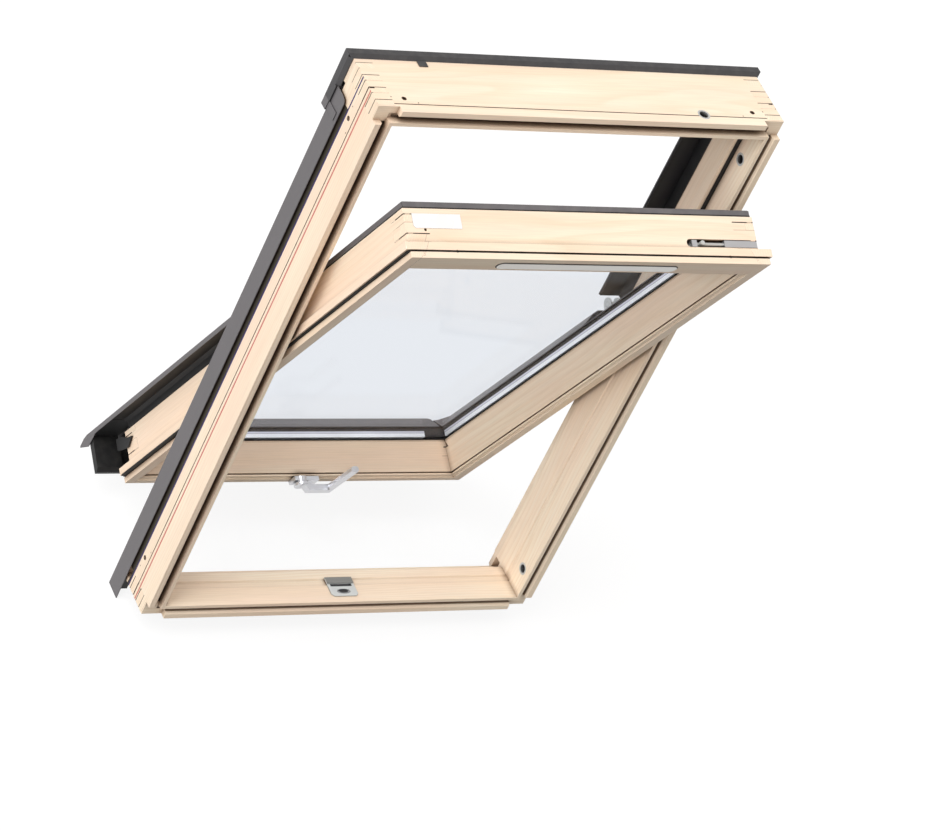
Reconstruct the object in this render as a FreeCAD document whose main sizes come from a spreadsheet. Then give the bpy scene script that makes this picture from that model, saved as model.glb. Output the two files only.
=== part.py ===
import FreeCAD, Part
import Sketcher
import math
import os
import re

# A centre pivot roof window of pine with aluminium cladding, standing upright with its sash open.
# X runs to the right seen from the room, Y points to the weather side and Z up the slope.
# The origin is the middle of the frame's underside, on the line of the standard installation depth.

doc = FreeCAD.newDocument("CentrePivotWindow")
sheet = doc.addObject("Spreadsheet::Sheet", "Sizes")
aliases = []


def size(name, number):
    """Write one driving dimension, in millimetres or degrees, into the sheet."""
    aliases.append(name)
    cell = "A%d" % len(aliases)
    sheet.set(cell, str(number))
    sheet.setAlias(cell, name)


# Main sizes of the window, which the rest follows.
FRAME_WIDTH = 780
FRAME_HEIGHT = 1178
TIMBER_DEPTH = 106
SASH_DEPTH = 91
SASH_WIDTH = FRAME_WIDTH - 76
SASH_HEIGHT = FRAME_HEIGHT - 102
PIVOT_HEIGHT = FRAME_HEIGHT - 535.2
SASH_TOP_REACH = FRAME_HEIGHT - PIVOT_HEIGHT - 56.2

# Frame members. Depths count from the room face of the frame's core, insets from its outer edge.
size("frame_width", FRAME_WIDTH)
size("frame_height", FRAME_HEIGHT)
size("line_depth", 37)
size("timber_depth", TIMBER_DEPTH)
size("head_depth", TIMBER_DEPTH + 7)
size("frame_inset", 31)
size("lip_rise", 12.5)
size("outer_lip", 14)
size("groove_width", 10.3)
size("groove_sink", 6)
size("lip_bevel", 4)
size("head_lip_start", 39)
size("jamb_lip_start", 29)
size("seal_groove_depth", 28.3)
size("seal_groove_width", 16.7)
size("seal_groove_sink", 2.5)
size("weather_bevel", 3)
size("weather_bevel_depth", 16)
size("sill_shelf_depth", 66.4)
size("sill_shelf_height", 12)
size("sill_drip", 6)

# The stop of the frame's upper half, which the sash closes against from the room side.
size("stop_inset", 46)
size("stop_depth", 37.5)
size("stop_root", 6)
size("stop_clear", 30)
size("frame_seal_width", 7)
size("frame_seal_thick", 2)

# Finger joints of the frame corners.
size("finger_pitch", 29.6)
size("finger_thick", 12.5)
size("finger_start", 2.4)
size("finger_count", 4)
size("joint_gap", 1.2)
size("joint_gap_sink", 2.5)
size("side_groove_depth", 43.4)
size("side_groove_width", 2)
size("side_groove_sink", 4)

# Screw holes for the installation brackets, in sets of one large and two small.
size("bracket_hole", 5)
size("bracket_pilot", 2.6)
size("bracket_hole_deep", 22)
size("jamb_bracket_end", 79.5)
size("jamb_bracket_depth", 59)
size("head_bracket_end", 54.5)
size("head_bracket_depth", 20)
size("bracket_pilot_step", 22.7)
size("bracket_pilot_out", 3)
size("bracket_pilot_in", 9.5)

# Bushes for the barrel bolt.
size("bush_outer", 23)
size("bush_bore", 16)
size("bush_flange", 1.2)
size("bush_long", 18)
size("bush_wall", 1.6)
size("upper_bush_height", FRAME_HEIGHT - 101.4)
size("upper_bush_depth", 17.4)
size("lower_bush_height", 81.7)
size("lower_bush_depth", 11.7)
size("head_bush_side", 234)
size("head_bush_depth", 10.3)

# Pivot axis and the pose of the sash.
size("pivot_height", PIVOT_HEIGHT)
size("pivot_depth", 121.4)
size("open_angle", 25)
size("sash_face_depth", 3)
size("sash_top_reach", SASH_TOP_REACH)

# Sash members. Depths count from the sash's room face, insets from the edge of its flange.
size("sash_width", SASH_WIDTH)
size("sash_height", SASH_HEIGHT)
size("sash_depth", SASH_DEPTH)
size("lip_setback", 7)
size("core_setback", 15)
size("sash_lip_depth", 10.5)
size("sash_slot_width", 3.5)
size("sash_slot_sink", 13)
size("flange_depth", 27.5)
size("stile_face", 25)
size("rail_face", 13)
size("head_face", 46)
size("bead_step", 8)
size("bead_depth", 7)
size("bead_groove", 2.5)
size("side_sight", 56.5)
size("bottom_sight", 54)
size("head_sight", 56)
size("splay_depth", 56)
size("rebate_depth", 60)
size("rebate_inset", 32)
size("sash_finger_pitch", 33.1)
size("sash_finger_thick", 13.4)
size("sash_finger_start", 33.8)
size("sash_finger_count", 2)

# Insulating glass unit.
size("glazing_seal_thick", 2)
size("glazing_seal_lip", 1.5)
size("glass_thick", 4)
size("glass_gap", 16)
size("glass_edge_gap", 4)
size("spacer_inset", 57)
size("spacer_wide", 13)

# Cladding sheets of the frame.
size("sheet_thick", 1.5)
size("band_stand", 5)
size("band_near", 80)
size("band_far", 118)
size("band_foot", 45)
size("band_return", 12)
size("cover_near", 112)
size("cover_thick", 2.5)
size("cover_inset", 86)
size("lining_near", 88)
size("hood_foot", TIMBER_DEPTH + 7)
size("hood_edge", 119)
size("hood_far", 133)
size("hood_rise", 6.5)
size("hood_low", 92)
size("hood_side", 8)
size("hood_end_drop", 93)
size("band_drop", 60)
size("band_corner", 16)

# Cladding of the sash.
size("clad_seal", 3)
size("clad_edge", 17)
size("clad_top", 104)
size("clad_inset", 62)
size("clad_corner", 2)
size("pane_clear", 0.3)
size("wing_over", 16)
size("wing_top", 117)
size("wing_leg", 8.5)
size("wing_slope", 20)
size("wing_shoulder", 106)
size("wing_gap", 25)
size("liner_drop", 7.5)
size("liner_inset", 30)
size("wing_nose", 33)
size("wing_nose_wide", 23)
size("skirt_drop", 70)
size("skirt_near", 42)
size("skirt_thick", 3)
size("block_wide", 51)
size("block_arm", 109)
size("block_foot", 14)

# Hinges at the pivot axis.
size("hinge_pin", 10)
size("hinge_eye", 24)
size("hinge_plate", 3)
size("hinge_play", 0.3)
size("frame_hinge_long", 48)
size("frame_hinge_near", 72)
size("sash_hinge_long", 40)
size("sash_hinge_near", 58)

# Barrel bolt in the top of the sash.
size("bolt_depth", 42)
size("bolt_slot_width", 14)
size("bolt_slot_sink", 13)
size("bolt_slot_start", 203)
size("bolt_rod", 7)
size("bolt_rod_start", 207)
size("bolt_back", 9)
size("bolt_knob", 8)
size("bolt_knob_side", 226)
size("bolt_knob_rise", 3)
size("bolt_guide_long", 10)
size("bolt_barrel_start", 272)
size("bolt_wall", 1)

# Vent bar and type plate on the head of the sash.
size("vent_long", 345)
size("vent_tall", 22)
size("vent_inset", 16)
size("vent_sink", 2)
size("vent_proud", 1.5)
size("plate_left", 322)
size("plate_long", 90)
size("plate_near", 57)
size("plate_wide", 25)
size("plate_corner", 4)
size("plate_hole_side", 301)
size("plate_hole_depth", 54.5)
size("slot_hole_left", 258.5)
size("slot_hole_right", 267)
size("small_hole", 5)
size("small_hole_deep", 12)
size("plate_thick", 0.6)

# Handle under the bottom rail and its keeper on the sill.
size("handle_side", -2)
size("handle_height", 24)
size("handle_base_shift", 9.5)
size("handle_base_wide", 49)
size("handle_base_tall", 26)
size("handle_base_top", 6)
size("handle_base_thick", 8)
size("handle_boss", 20)
size("lever_hub", 30)
size("lever_root_near", 12)
size("lever_root_far", 17)
size("lever_near", 18)
size("lever_far", 29.5)
size("lever_elbow", 51)
size("lever_arm_low", -3)
size("lever_arm_high", 14)
size("lever_grip", 112)
size("lever_grip_wide", 14)
size("lever_bevel", 3)
size("keeper_side", 6)
size("keeper_wide", 54)
size("keeper_near", 1)
size("keeper_deep", 44)
size("keeper_thick", 1.6)
size("keeper_hood", 14)
size("keeper_hood_rise", 3.2)
size("keeper_corner", 5)
size("keeper_recess", 0.4)
size("keeper_slot_edge", 8)
size("keeper_slot_wide", 7)
size("keeper_dip_near", 7)
size("keeper_dip_far", 15)
size("keeper_dip_end", 21)

# Small sheet parts at the head.
size("tab_near", 87)
size("tab_tall", 16)
size("tab_wrap", 117)
size("tab_fold", 3)
size("strap_side", 274)
size("strap_wide", 16)
size("strap_near", 100)
size("end_seal_tall", 34)
size("end_seal_wide", 17)
size("end_seal_near", 92)

doc.recompute()
alias_pattern = re.compile(r"\b(" + "|".join(sorted(aliases, key=len, reverse=True)) + r")\b")


def bind(thing, path, text):
    """Bind a property to an expression written with the plain names of the sheet."""
    thing.setExpression(path, alias_pattern.sub(r"Sizes.\1", text))


def new_body(label):
    body = doc.addObject("PartDesign::Body", label)
    body.Label = label
    return body


def seat_in_frame(body):
    """Depths inside a frame piece count from the room face of the frame's core."""
    bind(body, "Placement.Base.y", "-line_depth")


AXIS_DEPTH = "(pivot_depth - sash_face_depth)"


def seat_in_sash(body):
    """Heights inside a sash piece count from the pivot, depths from the sash's room face."""
    body.Placement = FreeCAD.Placement(FreeCAD.Vector(0, 0, 0), FreeCAD.Rotation(FreeCAD.Vector(1, 0, 0), 10))
    bind(body, "Placement.Rotation.Angle", "open_angle")
    bind(body, "Placement.Base.y", "pivot_depth - line_depth - " + AXIS_DEPTH + " * cos(open_angle * 1deg)")
    bind(body, "Placement.Base.z", "pivot_height - " + AXIS_DEPTH + " * sin(open_angle * 1deg)")


def origin_plane(body, role):
    return [feature for feature in body.Origin.OriginFeatures if feature.Role == role][0]


def sketch_in(body, role, offset):
    """Attach a sketch to one of the body's origin planes, moved along its normal."""
    sketch = body.newObject("Sketcher::SketchObject", body.Name + "_sketch")
    sketch.AttachmentSupport = [(origin_plane(body, role), "")]
    sketch.MapMode = "FlatFace"
    sign = "-1 * " if role == "XZ_Plane" else ""
    bind(sketch, "AttachmentOffset.Base.z", sign + "(" + offset + ") * 1mm")
    return sketch


def draw_outline(sketch, points):
    """Draw a closed outline whose corners are each tied to the sheet by two expressions."""
    count = len(points)
    first = sketch.GeometryCount
    rough = []
    for number in range(count):
        turn = 2 * math.pi * number / count
        rough.append(FreeCAD.Vector(60 * math.cos(turn), 60 * math.sin(turn), 0))
    for number in range(count):
        sketch.addGeometry(Part.LineSegment(rough[number], rough[(number + 1) % count]), False)
    for number in range(count):
        following = first + (number + 1) % count
        sketch.addConstraint(Sketcher.Constraint("Coincident", first + number, 2, following, 1))
    for number, point in enumerate(points):
        for axis, kind in enumerate(("DistanceX", "DistanceY")):
            constraint = Sketcher.Constraint(kind, -1, 1, first + number, 1, rough[number][axis])
            index = sketch.addConstraint(constraint)
            bind(sketch, "Constraints[%d]" % index, point[axis])


def draw_circle(sketch, across, up, diameter):
    geometry = sketch.GeometryCount
    sketch.addGeometry(Part.Circle(FreeCAD.Vector(20, 20, 0), FreeCAD.Vector(0, 0, 1), 5), False)
    for kind, text in (("DistanceX", across), ("DistanceY", up)):
        index = sketch.addConstraint(Sketcher.Constraint(kind, -1, 1, geometry, 3, 20))
        bind(sketch, "Constraints[%d]" % index, text)
    index = sketch.addConstraint(Sketcher.Constraint("Diameter", geometry, 10))
    bind(sketch, "Constraints[%d]" % index, diameter)


def rectangle(left, right, low, high):
    return [(left, low), (right, low), (right, high), (left, high)]


def add_feature(body, kind, sketch, length, role):
    """Raise or cut a sketch from its plane towards the positive side of the body's axis."""
    feature = body.newObject("PartDesign::" + kind, body.Name + "_" + kind.lower())
    feature.Profile = sketch
    bind(feature, "Length", length)
    pad_backwards = role == "XZ_Plane"
    feature.Reversed = pad_backwards if kind == "Pad" else not pad_backwards
    sketch.Visibility = False
    return feature


def pad(body, role, offset, length, points):
    sketch = sketch_in(body, role, offset)
    draw_outline(sketch, points)
    return add_feature(body, "Pad", sketch, length, role)


def pocket(body, role, offset, length, points):
    sketch = sketch_in(body, role, offset)
    draw_outline(sketch, points)
    return add_feature(body, "Pocket", sketch, length, role)


def round_pad(body, role, offset, length, across, up, diameter):
    sketch = sketch_in(body, role, offset)
    draw_circle(sketch, across, up, diameter)
    return add_feature(body, "Pad", sketch, length, role)


def round_pocket(body, role, offset, length, across, up, diameter):
    sketch = sketch_in(body, role, offset)
    draw_circle(sketch, across, up, diameter)
    return add_feature(body, "Pocket", sketch, length, role)


def repeat_along(body, axis_role, originals, span, count):
    """Repeat features along one of the body's axes over a span."""
    pattern = body.newObject("PartDesign::LinearPattern", body.Name + "_pattern")
    axis = [feature for feature in body.Origin.OriginFeatures if feature.Role == axis_role][0]
    pattern.Originals = originals
    pattern.Direction = (axis, [""])
    bind(pattern, "Length", span)
    bind(pattern, "Occurrences", count)
    body.Tip = pattern
    return pattern


def cut_by(label, base, tools):
    """Cope one member against the members that it meets."""
    result = base
    for number, tool in enumerate(tools):
        cut = doc.addObject("Part::Cut", "%s_cope_%d" % (base.Name, number))
        cut.Base = result
        cut.Tool = tool
        cut.Refine = True
        result = cut
    base.Label = label + "_blank"
    result.Label = label
    return result


def fuse(label, pieces):
    joined = doc.addObject("Part::MultiFuse", label)
    joined.Shapes = pieces
    joined.Refine = True
    joined.Label = label
    return joined


def join_apart(label, pieces):
    """Gather like pieces that don't touch into one node."""
    group = doc.addObject("Part::Compound", label)
    group.Links = pieces
    group.Label = label
    return group


SIDES = (("left", "-1 * "), ("right", ""))
HALF = "frame_width / 2"
SASH_HALF = "sash_width / 2"
GAP = "(finger_pitch - finger_thick)"
OVERCUT = "20"


def from_edge(sign, inset, half=HALF):
    """Across position of an inset counted from the outer edge on one side."""
    return "%s(%s - (%s))" % (sign, half, inset)


def saw_groove(body, sign, low, tall):
    """Narrow groove up the outer side of the frame, beside the installation line."""
    groove = rectangle(
        from_edge(sign, "-1 * " + OVERCUT), from_edge(sign, "side_groove_sink"),
        "side_groove_depth", "side_groove_depth + side_groove_width")
    pocket(body, "XY_Plane", low, tall, groove)


def finger_gaps(body, sign, low, tall, face_low):
    """Open joint lines beside the fingers: one set in the end face, the other in the outer side."""
    start = "finger_start + finger_thick"
    face = rectangle(
        from_edge(sign, "-1 * " + OVERCUT), from_edge(sign, "frame_inset"), start, start + " + joint_gap")
    end_gap = pocket(body, "XY_Plane", face_low, "joint_gap_sink + " + OVERCUT, face)
    repeat_along(body, "Y_Axis", [end_gap], "finger_pitch * (finger_count - 1)", "finger_count")
    near = "finger_start + finger_pitch"
    side = rectangle(
        from_edge(sign, "-1 * " + OVERCUT), from_edge(sign, "joint_gap_sink"), near + " - joint_gap", near)
    side_gap = pocket(body, "XY_Plane", low, tall, side)
    repeat_along(body, "Y_Axis", [side_gap], "finger_pitch * (finger_count - 2)", "finger_count - 1")


def frame_jamb(side, sign):
    """Jamb with its finger slots, the stop of its upper half, the lining groove and its lips."""
    body = new_body("frame_jamb_" + side)
    seat_in_frame(body)

    def at(inset):
        return from_edge(sign, inset)

    groove_far = "seal_groove_depth + seal_groove_width"
    sunk = "frame_inset - seal_groove_sink"
    core = [
        (at("0"), "0"),
        (at("frame_inset"), "0"),
        (at("frame_inset"), "seal_groove_depth"),
        (at(sunk), "seal_groove_depth + seal_groove_sink"),
        (at(sunk), groove_far + " - seal_groove_sink"),
        (at("frame_inset"), groove_far),
        (at("frame_inset"), "timber_depth - weather_bevel_depth"),
        (at("frame_inset - weather_bevel"), "timber_depth"),
        (at("0"), "timber_depth"),
    ]
    pad(body, "XY_Plane", "0", "frame_height", core)
    root = "frame_inset - stop_root"
    stop = [
        (at(root), "seal_groove_depth - stop_root"),
        (at("frame_inset"), "seal_groove_depth - stop_root"),
        (at("frame_inset"), "stop_depth"),
        (at("stop_inset"), "stop_depth"),
        (at("stop_inset"), "timber_depth"),
        (at(root), "timber_depth"),
    ]
    stop_start = "pivot_height + stop_clear"
    pad(body, "XY_Plane", stop_start, "frame_height - frame_inset - pivot_height - stop_clear", stop)
    slot = rectangle(
        at("-1 * " + OVERCUT), at("frame_inset"),
        "finger_start - " + GAP, "finger_start")
    top_slot = pocket(body, "XY_Plane", "frame_height - frame_inset", "frame_inset + " + OVERCUT, slot)
    foot_slot = pocket(body, "XY_Plane", "-1 * " + OVERCUT, "frame_inset + " + OVERCUT, slot)
    repeat_along(body, "Y_Axis", [top_slot, foot_slot], "finger_pitch * finger_count", "finger_count + 1")
    lip_long = "frame_height - 2 * jamb_lip_start"
    outer_lip = [
        (at("0"), "-1 * lip_rise"),
        (at("outer_lip - lip_bevel"), "-1 * lip_rise"),
        (at("outer_lip"), "lip_bevel - lip_rise"),
        (at("outer_lip"), "groove_sink"),
        (at("0"), "groove_sink"),
    ]
    pad(body, "XY_Plane", "jamb_lip_start", lip_long, outer_lip)
    inner_start = "outer_lip + groove_width"
    inner_lip = rectangle(at(inner_start), at("frame_inset"), "-1 * lip_rise", "groove_sink")
    pad(body, "XY_Plane", inner_start, "frame_height - 2 * (%s)" % inner_start, inner_lip)
    groove = rectangle(at("outer_lip"), at(inner_start), "-1 * lip_rise", "groove_sink")
    pocket(body, "XY_Plane", inner_start, "frame_height - 2 * (%s)" % inner_start, groove)
    saw_groove(body, sign, "0", "frame_height")
    ends = (("frame_height - jamb_bracket_end", "1"), ("jamb_bracket_end", "-1"))
    hole_start = "%s - bracket_hole_deep" % HALF if sign == "" else "-1 * (%s) - %s" % (HALF, OVERCUT)
    for middle, outward in ends:
        for step, depth_shift, width in (
            ("0", "0", "bracket_hole"),
            ("bracket_pilot_step", "bracket_pilot_out", "bracket_pilot"),
            ("-1 * bracket_pilot_step", "-1 * bracket_pilot_in", "bracket_pilot"),
        ):
            round_pocket(
                body, "YZ_Plane", hole_start, "bracket_hole_deep + " + OVERCUT,
                "jamb_bracket_depth + " + depth_shift, "%s + %s * (%s)" % (middle, outward, step), width)
    return body


def bush_bores(body, sign, places):
    """Drill the seats of the bolt bushes through the inner face of a jamb."""
    inner = "%s - frame_inset" % HALF
    for depth, height in places:
        start = inner + " - " + OVERCUT
        round_pocket(body, "YZ_Plane", start, OVERCUT + " + bush_flange", depth, height, "bush_outer")
        round_pocket(body, "YZ_Plane", start, OVERCUT + " + bush_long", depth, height, "bush_bore + 2 * bush_wall")


jambs = {}
for side, sign in SIDES:
    jambs[side] = frame_jamb(side, sign)
BUSH_PLACES = (("upper_bush_depth", "upper_bush_height"), ("lower_bush_depth", "lower_bush_height"))
bush_bores(jambs["right"], "", BUSH_PLACES)


def cross_lips(body, top, lip_start):
    """Lips and lining groove along the head or the sill."""
    def up(inset):
        return "frame_height - (%s)" % inset if top else inset

    outer = [
        ("-1 * lip_rise", up("0")),
        ("groove_sink", up("0")),
        ("groove_sink", up("outer_lip")),
        ("lip_bevel - lip_rise", up("outer_lip")),
        ("-1 * lip_rise", up("outer_lip - lip_bevel")),
    ]
    start = "-1 * (%s - %s)" % (HALF, lip_start)
    pad(body, "YZ_Plane", start, "frame_width - 2 * (%s)" % lip_start, outer)
    inner_start = "outer_lip + groove_width"
    inner = [
        ("-1 * lip_rise", up(inner_start)),
        ("groove_sink", up(inner_start)),
        ("groove_sink", up("frame_inset")),
        ("-1 * lip_rise", up("frame_inset")),
    ]
    pad(body, "YZ_Plane", "-1 * (%s - frame_inset)" % HALF, "frame_width - 2 * frame_inset", inner)
    groove = [
        ("-1 * lip_rise", up("outer_lip")),
        ("groove_sink", up("outer_lip")),
        ("groove_sink", up(inner_start)),
        ("-1 * lip_rise", up(inner_start)),
    ]
    groove_side = "-1 * (%s - (%s))" % (HALF, inner_start)
    pocket(body, "YZ_Plane", groove_side, "frame_width - 2 * (%s)" % inner_start, groove)


def frame_head():
    """Head with the stop along its weather side, coped over the jambs' fingers."""
    body = new_body("frame_head_blank")
    seat_in_frame(body)
    low = "frame_height - frame_inset"
    outline = [
        ("0", "frame_height"),
        ("0", low),
        ("stop_depth", low),
        ("stop_depth", "frame_height - stop_inset"),
        ("head_depth", "frame_height - stop_inset"),
        ("head_depth", "frame_height"),
    ]
    pad(body, "YZ_Plane", "-1 * " + HALF, "frame_width", outline)
    cross_lips(body, True, "head_lip_start")
    for sign in ("-1", "1"):
        for step, depth_shift, width in (
            ("0", "0", "bracket_hole"),
            ("bracket_pilot_step", "bracket_pilot_out", "bracket_pilot"),
            ("-1 * bracket_pilot_step", "-1 * bracket_pilot_in", "bracket_pilot"),
        ):
            across = "%s * (%s - head_bracket_end + %s)" % (sign, HALF, step)
            round_pocket(
                body, "XY_Plane", "frame_height - bracket_hole_deep", "bracket_hole_deep + " + OVERCUT,
                across, "head_bracket_depth + " + depth_shift, width)
    for side, sign in SIDES:
        saw_groove(body, sign, "frame_height - stop_inset", "stop_inset")
        finger_gaps(body, sign, low, "frame_inset", "frame_height - joint_gap_sink")
    across_top = rectangle("-1 * " + HALF, HALF, "groove_sink", "groove_sink + joint_gap")
    pocket(body, "XY_Plane", "frame_height - joint_gap_sink", OVERCUT, across_top)
    top = "frame_height - bush_flange"
    round_pocket(body, "XY_Plane", top, OVERCUT, "head_bush_side", "head_bush_depth", "bush_outer")
    round_pocket(
        body, "XY_Plane", "frame_height - bush_long", OVERCUT + " + bush_long",
        "head_bush_side", "head_bush_depth", "bush_bore + 2 * bush_wall")
    return cut_by("frame_head", body, [jambs["left"], jambs["right"]])


def frame_sill():
    """Sill, shallower than the jambs, with its weather side cut down to a drip shelf."""
    body = new_body("frame_sill_blank")
    seat_in_frame(body)
    far = "finger_start + finger_pitch * (finger_count - 1)"
    groove_far = "seal_groove_depth + seal_groove_width"
    sunk = "frame_inset - seal_groove_sink"
    outline = [
        ("0", "0"),
        ("0", "frame_inset"),
        ("seal_groove_depth", "frame_inset"),
        ("seal_groove_depth + seal_groove_sink", sunk),
        (groove_far + " - seal_groove_sink", sunk),
        (groove_far, "frame_inset"),
        ("sill_shelf_depth - seal_groove_sink", "frame_inset"),
        ("sill_shelf_depth", sunk),
        ("sill_shelf_depth", "sill_shelf_height"),
        (far, "sill_drip"),
        (far, "0"),
    ]
    pad(body, "YZ_Plane", "-1 * " + HALF, "frame_width", outline)
    cross_lips(body, False, "head_lip_start")
    for side, sign in SIDES:
        saw_groove(body, sign, "0", "frame_inset")
        finger_gaps(body, sign, "0", "frame_inset", "-1 * " + OVERCUT)
    return cut_by("frame_sill", body, [jambs["left"], jambs["right"]])


def frame_seal():
    """Black seal strips on the stop, up both jambs and across the head."""
    strips = []
    near = "stop_depth - frame_seal_thick"
    edge = "(frame_inset + 1)"
    stop_start = "pivot_height + stop_clear"
    for side, sign in SIDES:
        body = new_body("frame_seal_" + side)
        seat_in_frame(body)
        outline = rectangle(
            from_edge(sign, edge), from_edge(sign, edge + " + frame_seal_width"), near, "stop_depth")
        long = "frame_height - %s - frame_seal_width - pivot_height - stop_clear" % edge
        pad(body, "XY_Plane", stop_start, long, outline)
        strips.append(body)
    body = new_body("frame_seal_head")
    seat_in_frame(body)
    top = "frame_height - " + edge
    outline = rectangle(near, "stop_depth", top + " - frame_seal_width", top)
    pad(body, "YZ_Plane", "-1 * (%s - %s)" % (HALF, edge), "frame_width - 2 * " + edge, outline)
    strips.append(body)
    return fuse("frame_seal", strips)


def bolt_bushes():
    """Flanged bushes that take the barrel bolt: two in the right jamb, one in the head."""
    bushes = []
    inner = "%s - frame_inset" % HALF
    for name, (depth, height) in zip(("upper", "lower"), BUSH_PLACES):
        body = new_body("bolt_bush_" + name)
        seat_in_frame(body)
        round_pad(body, "YZ_Plane", inner, "bush_flange", depth, height, "bush_outer")
        round_pad(body, "YZ_Plane", inner, "bush_long", depth, height, "bush_bore + 2 * bush_wall")
        round_pocket(body, "YZ_Plane", inner, "bush_long - bush_wall", depth, height, "bush_bore")
        bushes.append(body)
    body = new_body("bolt_bush_head")
    seat_in_frame(body)
    across = "head_bush_side"
    deep = "head_bush_depth"
    round_pad(body, "XY_Plane", "frame_height - bush_flange", "bush_flange", across, deep, "bush_outer")
    low = "frame_height - bush_long"
    round_pad(body, "XY_Plane", low, "bush_long", across, deep, "bush_bore + 2 * bush_wall")
    round_pocket(body, "XY_Plane", low + " + bush_wall", "bush_long", across, deep, "bush_bore")
    bushes.append(body)
    return join_apart("bolt_bushes", bushes)


def keeper_plate():
    """Keeper on the sill: a rounded plate with a raised hood and the slot that takes the latch."""
    body = new_body("keeper_plate")
    seat_in_frame(body)
    left = "keeper_side - keeper_wide / 2"
    right = "keeper_side + keeper_wide / 2"
    far = "keeper_near + keeper_deep"
    plate = [
        (left, far),
        (left, "keeper_near + keeper_corner"),
        (left + " + keeper_corner", "keeper_near"),
        (right + " - keeper_corner", "keeper_near"),
        (right, "keeper_near + keeper_corner"),
        (right, far),
    ]
    pad(body, "XY_Plane", "frame_inset", "keeper_thick", plate)
    hood = rectangle(left, right, far + " - keeper_hood", far)
    pad(body, "XY_Plane", "frame_inset", "keeper_hood_rise", hood)
    slot_far = far + " - keeper_hood"
    slot = rectangle(
        left + " + keeper_slot_edge", right + " - keeper_slot_edge", slot_far + " - keeper_slot_wide", slot_far)
    pocket(body, "XY_Plane", "frame_inset + keeper_recess", OVERCUT, slot)
    dip = [
        (left + " + keeper_dip_far", "keeper_near + keeper_dip_far"),
        (left + " + keeper_dip_end", "keeper_near + keeper_dip_near"),
        (right + " - keeper_dip_end", "keeper_near + keeper_dip_near"),
        (right + " - keeper_dip_far", "keeper_near + keeper_dip_far"),
    ]
    pocket(body, "XY_Plane", "frame_inset + keeper_recess", OVERCUT, dip)
    return body


def side_cladding(side, sign):
    """Bent sheet band along the outside of a jamb, returned onto its weather face."""
    body = new_body("side_cladding_" + side)
    seat_in_frame(body)

    def at(inset):
        return from_edge(sign, inset)

    outline = [
        (at("-1 * band_stand"), "band_near"),
        (at("-1 * band_stand"), "band_far"),
        (at("band_return"), "band_far"),
        (at("band_return"), "timber_depth"),
        (at("band_return - sheet_thick"), "timber_depth"),
        (at("band_return - sheet_thick"), "band_far - sheet_thick"),
        (at("sheet_thick - band_stand"), "band_far - sheet_thick"),
        (at("sheet_thick - band_stand"), "band_near"),
    ]
    high = "frame_height - band_drop"
    pad(body, "XY_Plane", "-1 * band_foot", high + " + band_foot", outline)
    corner = [
        ("band_near", high),
        ("band_near", high + " - band_corner / 2"),
        ("band_near + band_corner / 4", high + " - band_corner / 8"),
        ("band_near + band_corner", high),
    ]
    pocket(body, "YZ_Plane", from_edge(sign, "0") if sign == "" else from_edge(sign, "-1 * band_stand"),
           "band_stand", corner)
    return body


UPPER_START = "pivot_height + stop_clear"
UPPER_LONG = "frame_height - stop_inset - pivot_height - stop_clear"


def upper_lining(side, sign):
    """Black lining of the upper jamb, which reaches over the edge of the closed sash."""
    body = new_body("upper_lining_" + side)
    seat_in_frame(body)

    def at(inset):
        return from_edge(sign, inset)

    outline = [
        (at("band_return + 1"), "timber_depth"),
        (at("stop_inset"), "timber_depth"),
        (at("stop_inset"), "lining_near"),
        (at("stop_inset + sheet_thick"), "lining_near"),
        (at("stop_inset + sheet_thick"), "cover_near"),
        (at("cover_inset"), "cover_near"),
        (at("cover_inset"), "cover_near + cover_thick"),
        (at("band_return + 1"), "cover_near + cover_thick"),
    ]
    pad(body, "XY_Plane", UPPER_START, UPPER_LONG, outline)
    return body


def upper_cover(side, sign):
    """Outer sheet of the upper side cladding, lying on the lining."""
    body = new_body("upper_cover_" + side)
    seat_in_frame(body)
    near = "cover_near + cover_thick"
    outline = rectangle(
        from_edge(sign, "band_return + 1"), from_edge(sign, "cover_inset + sheet_thick"),
        near, near + " + sheet_thick")
    pad(body, "XY_Plane", UPPER_START, UPPER_LONG, outline)
    return body


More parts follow.
